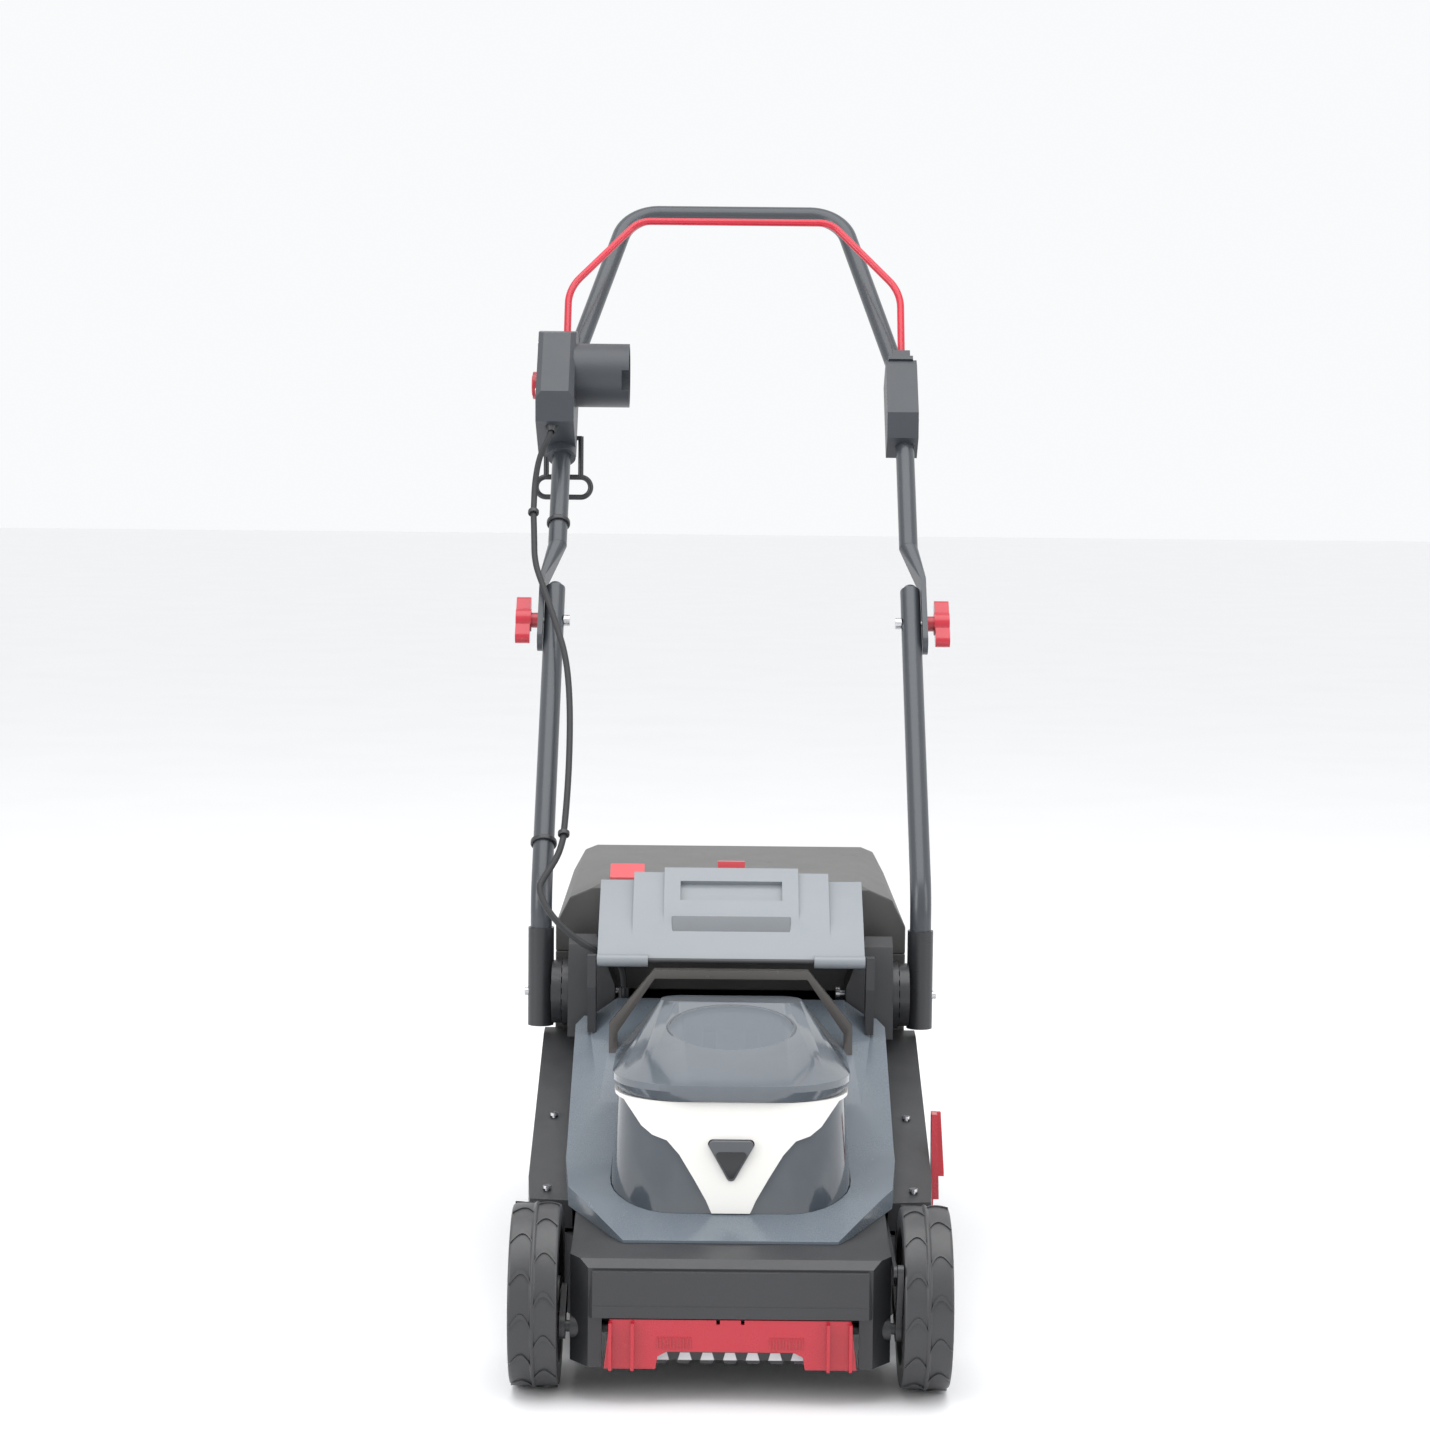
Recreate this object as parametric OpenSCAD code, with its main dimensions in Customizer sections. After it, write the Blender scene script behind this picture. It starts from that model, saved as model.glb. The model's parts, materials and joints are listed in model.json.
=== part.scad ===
/* [Wheels and axles] */
// Diameter of the front wheels
front_wheel_d = 160; // [140:1:170]
// Width of the front wheels
front_wheel_w = 42; // [34:1:44]
// Diameter of the rear wheels
rear_wheel_d = 190; // [170:1:200]
// Width of the rear wheels
rear_wheel_w = 34; // [28:1:36]
// Distance from the middle of the machine to the outer face of a front wheel
front_track = 190; // [188:1:200]
// Distance from the middle of the machine to the outer face of a rear wheel
rear_track = 186; // [184:1:196]
// Distance between the front and rear axles
wheelbase = 430; // [420:1:450]
// Diameter of the axle rods
axle_d = 10; // [8:0.5:12]
// Height that the deck gains between its lowest and highest setting
lift = 35; // [20:1:40]

/* [Deck and covers] */
// Half width of the deck over its flanks
deck_half_w = 184; // [182:1:190]
// Thickness of the deck's plastic wall
deck_wall = 4; // [3:0.5:5]
// Height of the deck's lower rim over the ground
deck_clear = 33; // [28:1:40]
// Half width of the top shroud at its widest
shroud_half_w = 150; // [140:1:155]
// Thickness of the covers' walls
cover_wall = 3; // [2.5:0.5:4]
// Diameter of the blade's circle
blade_d = 320; // [300:5:324]

/* [Handle] */
// Diameter of the lower handle tubes
lower_tube_d = 21; // [18:0.5:22]
// Diameter of the upper handle tube
upper_tube_d = 20; // [18:0.5:21]
// Distance from the middle of the machine to a lower tube's centre line
handle_half_w = 187; // [187:0.5:192]
// Slope of the handle above its bend, in degrees
handle_slope = 50; // [45:1:55]
// Length from the bend to the centre of the clamp knob
lower_run = 336; // [300:1:360]
// Length of the upper handle from the knob to its top bar
upper_run = 588; // [550:1:620]
// Diameter of the bail rod
bail_d = 8; // [6:0.5:10]
// Span of a clamp knob's wings
knob_span = 57; // [50:1:62]

/* [Plug shroud] */
// Outer diameter of the plug shroud
plug_d = 69; // [66:1:72]
// Wall thickness of the plug shroud
plug_wall = 3; // [2.5:0.5:4]
// Depth of the plug shroud
plug_depth = 58; // [50:1:60]

/* [Grass box] */
// Half width of the grass box
box_half_w = 174; // [165:1:175]
// Length of the grass box from front to back
box_len = 420; // [380:5:440]
// Wall thickness of the grass box
box_wall = 3; // [2.5:0.5:4]

/* [Hidden] */
$fn = 48;

// Clearances: a running shaft, two faces that meet, and two bodies that pass each other
run_gap = 0.05;
face_gap = 0.1;
body_gap = 0.5;

black = "#26272a";
slate = "#4a4f56";
shroud_grey = "#6b7580";
red = "#c8233c";
white = "#ececea";
steel = "#b4b6b8";

front_r = front_wheel_d / 2;
rear_r = rear_wheel_d / 2;

// Handle line: up through the sleeves, then back at the slope
pivot_y = 380;
pivot_z = 282;
bend_z = 380;
up_y = cos(handle_slope);
up_z = sin(handle_slope);
knob_y = pivot_y + lower_run * up_y;
knob_z = bend_z + lower_run * up_z;
top_y = knob_y + upper_run * up_y;
tube_over_knob = 42;

// The whole machine from the front wheel's tread to the top bar decides where the middle is
front_end = -front_r;
rear_end = top_y + upper_tube_d / 2;
mid_y = (front_end + rear_end) / 2;

// Height adjuster: cranks on both axles, pivoted in the deck ahead of the wheels' centres
crank = 42;
crank_rest = asin(lift / 2 / crank);
front_pivot = [-crank * cos(crank_rest), front_r - crank * sin(crank_rest)];
rear_pivot = [wheelbase + front_pivot[0], rear_r - crank * sin(crank_rest)];
rod_arm = 62;
arm_x = 142;
arm_t = 5;
tie_x = 138.5;
tie_t = 3;
tie_eye_r = 5;
// Where the tie rod meets an axle: its arm leans forward at rest and as far back when raised
function rod_end(pivot) = pivot + rod_arm * [-sin(crank_rest), cos(crank_rest)];

// Blade, motor and battery stand on one vertical axis
spindle_y = 165;
blade_z = 52;
motor_r = 44;
motor_z0 = 118;
motor_z1 = 186;
shaft_d = 12;
dome_y0 = 36;
dome_y1 = 258;
lid_z = 243;
lid_hinge = [262, 268];
tray_z = 205;
latch_z = 196;
latch_y = 36;

// Flap and grass box
flap_hinge = [302, 326];
flap_half_w = 129;
box_y0 = 408;
box_top = 388;

module placed() { translate([0, -mid_y, 0]) children(); }
module both_sides() {
    children();
    mirror([1, 0, 0]) children();
}
module x_rod(r, x0, x1) { translate([x0, 0, 0]) rotate([0, 90, 0]) cylinder(r = r, h = x1 - x0); }
module at_yz(p) { translate([0, p[0], p[1]]) children(); }
// Frame that looks along the sloping handle: local Z runs up the slope, local Y behind it
module on_slope() { translate([0, knob_y, knob_z]) rotate([handle_slope - 90, 0, 0]) children(); }
// A side profile in Y and Z, pushed out evenly to both sides of the middle
module side_profile(half_w, points) {
    translate([-half_w, 0, 0]) rotate([90, 0, 90]) linear_extrude(2 * half_w) polygon(points);
}
module plan_profile(z0, z1, points) {
    translate([0, 0, z0]) linear_extrude(z1 - z0) polygon(concat(points, mirrored(points)));
}
function mirrored(points) = [for (i = [len(points) - 1:-1:0]) [-points[i][0], points[i][1]]];
module rounded_box(size, r) {
    hull() for (x = [-1, 1], y = [-1, 1])
        translate([x * (size[0] / 2 - r), y * (size[1] / 2 - r), 0]) cylinder(r = r, h = size[2], $fn = 32);
}

// Deck: an open-bottomed shell with flanks that rise to the rear, a blade ring and a motor plate
deck_front = -60;
deck_rear = 404;
shroud_y0 = -6;
bay_half_w = 138;
ring_r = blade_d / 2 + 3;
plate_z = 108;
function deck_side(t) = [
    [deck_front + t, deck_clear - (t > 0 ? 1 : 0)], [deck_front + t, 119 - t], [-50, 125 - t], [12, 128 - t],
    [100, 143 - t], [380, 240 - t], [deck_rear - t, 242 - t], [deck_rear - t, deck_clear - (t > 0 ? 1 : 0)]
];
function deck_plan(t) = [
    [121 - t, deck_front - 1 + t], [bay_half_w - t, -38], [bay_half_w - t, 90 + t],
    [deck_half_w - 3 - t, 94 + t], [deck_half_w - t, 130], [deck_half_w - t, deck_rear + 1 - t]
];
module deck_form(t) {
    intersection() {
        side_profile(deck_half_w + 1, deck_side(t));
        plan_profile(0, 300, deck_plan(t));
    }
}
module rear_bays(grow) {
    both_sides() translate([bay_half_w - grow, 328 - grow, 0])
        cube([deck_half_w - bay_half_w + grow + 2, 90, 198 + grow]);
}
module axle_holes(r) {
    at_yz(front_pivot) x_rod(r, -bay_half_w - 5, bay_half_w + 5);
    at_yz(rear_pivot) x_rod(r, -bay_half_w - 5, bay_half_w + 5);
}
module deck() {
    color(black) difference() {
        union() {
            difference() {
                deck_form(0);
                difference() {
                    deck_form(deck_wall);
                    rear_bays(deck_wall);
                }
                rear_bays(0);
            }
            // Journals of the two axles
            for (x = [-bay_half_w, bay_half_w - 14]) {
                at_yz(front_pivot) x_rod(axle_d / 2 + 5, x, x + 14);
                at_yz(rear_pivot) x_rod(axle_d / 2 + 5, x, x + 14);
            }
        }
        axle_holes(axle_d / 2 + run_gap);
        translate([0, spindle_y, 20]) cylinder(r = ring_r + ring_t + face_gap, h = plate_z - 12, $fn = 96);
        // Well for the motor housing, mouth of the grass channel and the front grip's opening
        translate([-112, dome_y0 - 8, plate_z + 5]) cube([224, dome_y1 - dome_y0 + 12, 200]);
        slope_slot();
        translate([-118, deck_rear - 30, 100]) cube([236, 60, 122]);
        translate([-grip_half, deck_front - 5, 0]) cube([2 * grip_half, deck_wall + 6, grip_top]);
        translate([-80, 262, 150]) cube([160, 38, 100]);
        // Slot of the height lever, pivots' seats and the screws
        at_yz([lever_y, lever_z]) x_rod(9, deck_half_w - 8, deck_half_w + 2);
        for (x = [-1, 1], y = [110, 230]) translate([x * 166, y, 100]) cylinder(r = 2.1, h = 200);
        translate([gland_at[0], gland_at[1], 190]) cylinder(r = 6.1, h = 100);
    }
}
// Slot that lets the tie rod through the walls ahead of and behind the blade ring
module slope_slot() {
    both_sides() translate([bay_half_w, 0, 0]) rotate([90, 0, 90]) linear_extrude(tie_x + tie_t + body_gap - bay_half_w)
        polygon([[80, 115], [80, 135], [335, 144], [335, 125]]);
}
ring_t = 3;
// Blade ring under the motor plate, with the four posts that carry it from the deck's skin
module blade_ring() {
    color(black) difference() {
        union() {
            translate([0, spindle_y, 40]) cylinder(r = ring_r + ring_t, h = plate_z + 4 - 40, $fn = 96);
            for (x = [-118, 118], y = [78, 250])
                translate([x, y, plate_z]) cylinder(r = 8, h = deck_skin(y - 8) - deck_wall - plate_z - face_gap);
        }
        translate([0, spindle_y, 39]) cylinder(r = ring_r, h = plate_z - 39, $fn = 96);
        translate([-95, spindle_y + 60, 39]) cube([190, 120, 60]);
        translate([0, spindle_y, plate_z - 5]) cylinder(r = 24, h = 20);
    }
}
// Height of the deck's outer skin over its sloping middle
function deck_skin(y) = y < 100 ? 128 + (y - 12) * 15 / 88 : 143 + (y - 100) * 97 / 280;
grip_half = 110;
grip_top = 77;
lever_y = 172;
lever_z = 128;
lever_len = 78;
gland_at = [-104, 345];

module bumper() {
    // Raised front panel with a stepped seam across its lower third
    color(black) difference() {
        hull() {
            translate([0, deck_front - 3.1, 84]) cube([236, 6, 14], center = true);
            translate([0, deck_front - 1.6, 84]) cube([242, 3, 14], center = true);
            translate([0, deck_front - 3.1, 114]) cube([236, 6, 6], center = true);
        }
        translate([-130, deck_front - 7, 87]) cube([260, 1.2, 1]);
    }
}

module front_grip() {
    color(red) difference() {
        union() {
            translate([0, deck_front - 5, 0]) rotate([90, 0, 0]) translate([0, 0, -7]) linear_extrude(7)
                polygon([[-108, deck_clear], [-103, grip_top - 1], [103, grip_top - 1], [108, deck_clear]]);
            for (x = [-104, -85, 82, 101]) translate([x, deck_front - 12, deck_clear]) cube([3, 12, 41]);
        }
        // Hand arch under the bar and the two small notches in its top edge
        translate([0, deck_front, 0]) rotate([90, 0, 0]) translate([0, 0, -10]) linear_extrude(40)
            polygon([[-66, 20], [-62, 44], [-54, 48], [54, 48], [62, 44], [66, 20]]);
        for (x = [-12, 9]) translate([x, deck_front - 20, grip_top - 5]) cube([3, 30, 5]);
    }
}
module comb_strip() {
    // Edge comb behind the hand arch, with its teeth pointing down
    color("#c9ccd0") translate([0, -47, 0]) difference() {
        translate([-100, -3, deck_clear + 1]) cube([200, 3, 26]);
        for (x = [-90:20:90]) translate([x, -5, deck_clear]) rotate([-90, 0, 0]) linear_extrude(8)
            polygon([[-6, 1], [6, 1], [4, -4], [-4, -4]]);
    }
}

// Top shroud around the motor housing
function shroud_side(t) = [
    [shroud_y0 - t, 100], [shroud_y0 + t, 130 - t], [60, 152 - t], [150, 177 - t], [335, 266 - t], [341 - t, 260 - t],
    [341 - t, 100]
];
function shroud_plan(t) = [
    [94 - t, shroud_y0 + t], [145 - t, 78 + t / 2], [shroud_half_w - t, 130], [shroud_half_w - t, 322], [138 - t, 342 - t]
];
module shroud_form(t) {
    intersection() {
        side_profile(160, shroud_side(t));
        plan_profile(90, 300, shroud_plan(t));
    }
    // Shoulders that rise towards the carry handle
    hull() {
        translate([-126 + t, 186, 180 - t]) cube([252 - 2 * t, 1, 10]);
        translate([-110 + t, 332 - t, 276 - t]) cube([220 - 2 * t, 2, 8]);
        translate([-140 + t, 332 - t, 250 - t]) cube([280 - 2 * t, 2, 13]);
    }
}
module top_shroud() {
    color(shroud_grey) difference() {
        shroud_form(0);
        shroud_form(cover_wall);
        side_profile(200, [for (p = deck_side(-face_gap)) p]);
        housing_form(body_gap);
        // Recess under the carry handle, the lid's hinge and the gland's passage
        translate([-80, 262, 150]) cube([160, 37, 140]);
        translate([-bracket_x - 1, dome_y1 - 3, 150]) cube([2 * bracket_x + 2, 12, 140]);
        flap_sweep();
        translate([gland_at[0], gland_at[1], 200]) cylinder(r = 8 + body_gap, h = 100);
        both_sides() translate([112.9, 344, 200]) cube([60, 80, 150]);
    }
}
module flap_sweep() { at_yz(flap_hinge) x_rod(9, -flap_half_w - 3, flap_half_w + 3); }

// Motor housing: a tapered dome that is open at the top for the battery
module housing_form(grow) {
    y = (dome_y0 + dome_y1) / 2;
    l = dome_y1 - dome_y0;
    hull() {
        translate([0, y, plate_z + 8]) rounded_box([216 + 2 * grow, l + 2 * grow, 40], 58 + grow);
        translate([0, y + 4, lid_z - 12]) rounded_box([204 + 2 * grow, l - 12 + 2 * grow, 12 - face_gap], 60 + grow);
    }
}
module motor_housing() {
    color("#43484f") difference() {
        housing_form(0);
        translate([0, 0, -1]) housing_inside();
        translate([0, 0, 130]) translate([-200, -50, lid_z - 130 - face_gap]) cube([400, 400, 20]);
        at_yz([latch_y, latch_z]) rotate([-90, 0, 0]) translate([0, 0, -12]) cylinder(r = 24.3, h = 30);
    }
}
module housing_inside() {
    y = (dome_y0 + dome_y1) / 2;
    l = dome_y1 - dome_y0 - 2 * cover_wall;
    hull() {
        translate([0, y, plate_z]) rounded_box([216 - 2 * cover_wall, l, 40], 55);
        translate([0, y + 4, lid_z]) rounded_box([202 - 2 * cover_wall, l - 12, 14], 57);
    }
}
trim_z = 144.5;
module trim_frame() {
    color(white) difference() {
        intersection() {
            difference() {
                housing_form(3);
                housing_form(face_gap);
            }
            translate([0, 120, 0]) rotate([90, 0, 0]) linear_extrude(200) polygon([
                [-112, 240], [-96, 238], [-88, 229], [-80, 219], [-70, 212], [-57, 208], [-46, 196], [-33, 175],
                [-22, 156], [-17, trim_z], [17, trim_z], [22, 156], [33, 175], [46, 196], [57, 208], [70, 212],
                [80, 219], [88, 229], [96, 238], [112, 240], [112, lid_z], [-112, lid_z]
            ]);
        }
        at_yz([latch_y, latch_z]) rotate([90, 0, 0]) translate([0, 0, -30]) linear_extrude(80) latch_outline(23);
        translate([-200, -50, lid_z - face_gap - 1]) cube([400, 400, 20]);
    }
}
module latch_outline(r) { hull() for (a = [30, 150, 270]) rotate(a) translate([r - 4, 0]) circle(r = 4, $fn = 32); }
module latch_button() {
    color("#3c4046") at_yz([latch_y + 2, latch_z]) rotate([90, 0, 0]) difference() {
        union() {
            translate([0, 0, -6]) linear_extrude(11.5) latch_outline(22);
            translate([0, 0, -16]) cylinder(r = 6, h = 11);
        }
        translate([0, 0, -17]) cylinder(r = 3, h = 6);
    }
}
module latch_spring() {
    color(steel) at_yz([latch_y + 23.2, latch_z]) rotate([90, 0, 0]) difference() {
        cylinder(r = 5, h = 0.9);
        translate([0, 0, -1]) cylinder(r = 3.4, h = 3);
    }
    color(steel) at_yz([latch_y + 28, latch_z]) rotate([90, 0, 0]) cylinder(r = 2.8, h = 8);
}
module battery_tray() {
    color(black) translate([0, 153, tray_z - 14]) difference() {
        union() {
            rounded_box([196, 174, 3], 50);
            rounded_box([184, 172, 16], 40);
        }
        translate([0, 0, 3]) rounded_box([178, 166, 16], 38);
        translate([0, spindle_y - 153, -1]) cylinder(r = 20, h = 8);
    }
}
module battery_contacts() {
    color("#c79a4b") for (x = [-30:15:30]) translate([x - 1, 110, tray_z - 10.9]) cube([2, 14, 12]);
}
board_y = spindle_y + motor_r + 6;
module controller_board() {
    color("#2f6b3a") translate([-55, board_y, 124]) cube([110, 2, 50]);
    color("#44484c") for (x = [-38:19:38]) translate([x - 5, board_y + 2.1, 134]) cube([10, 6, 26]);
}
module motor_stator() {
    color(steel) translate([0, spindle_y, motor_z0]) difference() {
        cylinder(r = motor_r, h = motor_z1 - motor_z0);
        translate([0, 0, 4]) cylinder(r = motor_r - 8, h = motor_z1 - motor_z0 - 8);
        translate([0, 0, -1]) cylinder(r = 14 + run_gap, h = 100);
    }
    // Its two bearings, pressed into the end plates
    color("#9fa3a7") for (z = [motor_z0 - 5.9, motor_z1 - 5])
        translate([0, spindle_y, z]) difference() {
            cylinder(r = 14, h = 9);
            translate([0, 0, -1]) cylinder(r = shaft_d / 2 + run_gap, h = 12);
        }
}
module rotor() {
    color("#b98a5a") translate([0, spindle_y, 0]) union() {
        translate([0, 0, motor_z0 + 8]) cylinder(r = motor_r - 9, h = motor_z1 - motor_z0 - 20);
        translate([0, 0, blade_z + 11]) cylinder(r = shaft_d / 2, h = motor_z1 + 6 - blade_z - 11);
    }
}
module fan() {
    color(black) translate([0, spindle_y, 84]) difference() {
        union() {
            cylinder(r = 20, h = 14);
            cylinder(r = 52, h = 2);
            for (a = [0:40:320]) rotate(a) translate([18, -1, 0]) cube([34, 2, 13]);
        }
        translate([0, 0, -1]) cylinder(r = shaft_d / 2 + face_gap, h = 20);
    }
}
module blade_hub() {
    color("#8c9196") translate([0, spindle_y, blade_z + 3.1]) difference() {
        union() {
            cylinder(r = 26, h = 7);
            cylinder(r = 14, h = 27);
        }
        translate([0, 0, 7.8]) cylinder(r = shaft_d / 2 + face_gap, h = 30);
        translate([0, 0, -1]) cylinder(r = 4.1, h = 12);
    }
}
module blade() {
    color("#7f8488") translate([0, spindle_y, blade_z]) difference() {
        union() {
            translate([-blade_d / 2 + 4, -24, 0]) cube([blade_d - 8, 48, 3]);
            for (a = [0, 180]) rotate(a) translate([blade_d / 2 - 64, 14, 2.9]) rotate([35, 0, 0]) cube([60, 12, 3]);
        }
        translate([0, 0, -1]) cylinder(r = 4.1, h = 6);
        for (a = [0, 180]) rotate(a) translate([blade_d / 2 - 70, -30, -1]) rotate(-8) cube([90, 8, 5]);
    }
}
module blade_bolt() {
    color(steel) translate([0, spindle_y, blade_z - 8]) union() {
        cylinder(r = 9, h = 5.5, $fn = 6);
        translate([0, 0, 5.4]) cylinder(r = 15, h = 2.5);
        translate([0, 0, 5]) cylinder(r = 4, h = 14);
    }
}

// Battery lid: a rim that overhangs the housing and a sloping crown
module lid_form(t) {
    hull() {
        translate([0, (dome_y0 + dome_y1) / 2 + 2, lid_z + (t > 0 ? -1 : 0)])
            rounded_box([204 - 2 * t, dome_y1 - dome_y0 - 2 * t, 2], 70);
        translate([0, (dome_y0 + dome_y1) / 2 + 2, lid_z + 9])
            rounded_box([214 - 2 * t, dome_y1 - dome_y0 + 6 - 2 * t, 6], 70);
        translate([0, 102, 268 - t]) rounded_box([164 - 2 * t, 30, 3], 14);
        translate([0, 222, 300 - t]) rounded_box([132 - 2 * t, 40, 3], 19);
    }
}
module battery_lid() {
    color("#596069", 0.9) union() {
        difference() {
            lid_form(0);
            lid_form(cover_wall);
            translate([-40, dome_y1 - 2, lid_z - 2]) cube([80, 20, 60]);
        }
        difference() {
            for (x = [-39.5, 27.5]) translate([x, dome_y1 - 5, lid_z + 2]) cube([12, 9, 32]);
            at_yz(lid_hinge) x_rod(2 + run_gap, -60, 60);
            translate([-60, dome_y1 - 6, lid_z + 34]) rotate([30, 0, 0]) cube([120, 30, 20]);
        }
    }
}
bracket_x = 26;
module lid_hinge_pin() {
    color(steel) at_yz(lid_hinge) x_rod(2, -bracket_x, bracket_x);
    color(black) for (x = [-bracket_x, bracket_x - 12]) difference() {
        union() {
            translate([x, lid_hinge[0] - 3, lid_z - 32]) cube([12, 7, lid_hinge[1] - lid_z + 32]);
            at_yz(lid_hinge) x_rod(4, x, x + 12);
        }
        at_yz(lid_hinge) x_rod(2 - face_gap, -60, 60);
    }
}
module battery() {
    color("#2b2d30") difference() {
        translate([0, 152, tray_z + 2]) union() {
            rounded_box([136, 122, 44], 10);
            translate([0, 6, 43]) rounded_box([104, 92, 6], 8);
        }
        translate([-32, 112, tray_z]) cube([64, 11, 12]);
    }
}

carry_y = 281;
carry_z = 312;
module carry_handle() {
    color(black) difference() {
        union() {
            translate([-74, carry_y, carry_z]) cube([148, 15, 8]);
            both_sides() hull() {
                translate([73, carry_y, carry_z]) cube([1, 15, 8]);
                translate([108, carry_y - 14, 262]) cube([8, 13, 8]);
            }
            both_sides() translate([108, carry_y - 14, 220]) cube([8, 13, 44]);
        }
        translate([-64, carry_y + 4, carry_z - 4]) cube([128, 7, 6]);
        shroud_form(-face_gap);
    }
}
module pivot_humps() {
    color(black) both_sides() difference() {
        translate([113, 0, 0]) rotate([90, 0, 90]) linear_extrude(46) polygon([
            [346, 243], [348, 300], [362, 332], [378, 340], [392, 334], [402, 310], [402, 243]
        ]);
        difference() {
            translate([116, 0, 0]) rotate([90, 0, 90]) linear_extrude(40) polygon([
                [349, 240], [351, 300], [364, 329], [378, 337], [390, 331], [399, 308], [399, 240]
            ]);
            hump_slant(3.5);
        }
        hump_slant(0);
        at_yz([pivot_y, pivot_z]) x_rod(4 + run_gap, 100, 170);
    }
}
module hump_slant(inset) {
    translate([0, 420, 0]) rotate([90, 0, 0]) linear_extrude(90)
        polygon([[100, 294], [113 + inset, 294], [134 + inset, 344], [100, 344]]);
}
module pivot_discs() {
    color("#1e1f22") both_sides() difference() {
        at_yz([pivot_y, pivot_z]) union() {
            x_rod(33, 159 + face_gap, 165);
            for (a = [0:20:340]) rotate([a, 0, 0]) translate([159.5, 28, -2.5]) cube([6.2, 4, 5]);
        }
        at_yz([pivot_y, pivot_z]) x_rod(4 + run_gap, 100, 170);
    }
}
// The handle's pivot bolts and the screws in the deck's flanks
module deck_fasteners() {
    color(steel) both_sides() at_yz([pivot_y, pivot_z]) {
        x_rod(4, 108, 203);
        x_rod(7.5, 104, 108.1);
    }
    color(steel) both_sides() for (y = [110, 230]) translate([166, y, 0]) {
        translate([0, 0, 132]) cylinder(r = 2, h = deck_skin(y) - 130);
        translate([0, 0, deck_skin(y) + 1.5]) cylinder(r = 4, h = 2.6);
    }
}
module cable_gland() {
    color("#1e1f22") translate([gland_at[0], gland_at[1], 0]) difference() {
        union() {
            translate([0, 0, 226]) cylinder(r = 6, h = 20);
            translate([0, 0, 227 + 6]) cylinder(r = 8, h = 45);
            translate([0, 0, 277]) cylinder(r = 5.5, h = 16);
        }
        translate([0, 0, 200]) cylinder(r = cable_d / 2 + 3 * face_gap, h = 120);
    }
}

// Rear flap: a lid over the grass channel with a raised middle and a hand recess
module rear_flap() {
    color("#7d868e") difference() {
        union() {
            side_profile(flap_half_w, [[307, 327], [346, 356], [400, 391], [401.5, 387.5], [347, 351.5], [309, 323]]);
            side_profile(96, [[318, 331], [348, 362], [399, 399], [401.5, 388], [347, 353], [319, 328]]);
            side_profile(66, [[330, 340], [352, 368], [398, 404], [401.5, 388], [347, 353], [331, 337]]);
            at_yz(flap_hinge) x_rod(6, -flap_half_w, -80);
            at_yz(flap_hinge) x_rod(6, 80, flap_half_w);
            for (x = [-flap_half_w, 80]) side_wing(x);
        }
        at_yz(flap_hinge) x_rod(2.5 + run_gap, -200, 200);
        // Hand recess, 5 mm deep in the sloping pad
        translate([-50, 366.1, 372.7]) rotate([38, 0, 0]) cube([100, 26, 14]);
    }
}
module side_wing(x) {
    translate([x, 0, 0]) rotate([90, 0, 90]) linear_extrude(flap_half_w - 80)
        polygon([[300, 331.5], [310, 331], [312, 324], [304, 320.5]]);
}
module flap_hinge_pin() {
    color(steel) at_yz(flap_hinge) x_rod(2.5, -flap_half_w - 9, flap_half_w + 9);
    // Brackets that stand on the deck behind the shroud and hold the pin's ends
    color(black) both_sides() difference() {
        translate([flap_half_w + 1, 0, 0]) rotate([90, 0, 90]) linear_extrude(8)
            polygon([[296, 300], [296, 331], [308, 331], [330, 290], [330, 268], [305, 255]]);
        at_yz(flap_hinge) x_rod(2.5 - face_gap, 100, 160);
        shroud_form(-face_gap);
        translate([112, 340, 200]) cube([60, 80, 150]);
    }
}

// Grass box: a hollow box with a mouth at the front, narrow where it passes between the rear wheels
function box_side(t) = [
    [box_y0 + t, 120 + t], [box_y0 + t, box_top - 6 - t], [box_y0 + 18 + t, box_top - t],
    [box_y0 + box_len - 40 - t, box_top - 10 - t], [box_y0 + box_len - t, box_top - 60],
    [box_y0 + box_len - t, 160], [box_y0 + box_len - 60, 96 + t], [box_y0 + 40, 100 + t]
];
module box_form(t) {
    difference() {
        intersection() {
            side_profile(box_half_w - t, box_side(t));
            translate([0, 1000, 0]) rotate([90, 0, 0]) linear_extrude(1000) polygon([
                [-box_half_w + t, 90], [box_half_w - t, 90], [box_half_w - t, 345], [box_half_w - 14 - t, 372],
                [box_half_w - 50 - t, box_top - t], [-box_half_w + 50 + t, box_top - t],
                [-box_half_w + 14 + t, 372], [-box_half_w + t, 345]
            ]);
        }
        both_sides() translate([bay_half_w - 2 - t, box_y0 - 5, 80])
            cube([80, wheelbase + rear_r + 12 + t - box_y0, 122 + t]);
        // Room for the discs of the handle's pivots
        both_sides() at_yz([pivot_y, pivot_z]) x_rod(36 + t, 156 - t, 200);
    }
}
box_split = 318;
well_half_w = 75;
module grass_box() {
    color(black) difference() {
        box_form(0);
        box_form(box_wall);
        translate([-110, box_y0 - 5, 130]) cube([220, 12, 150]);
        translate([-200, 300, box_split - face_gap]) cube([400, 700, 200]);
    }
}
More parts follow.
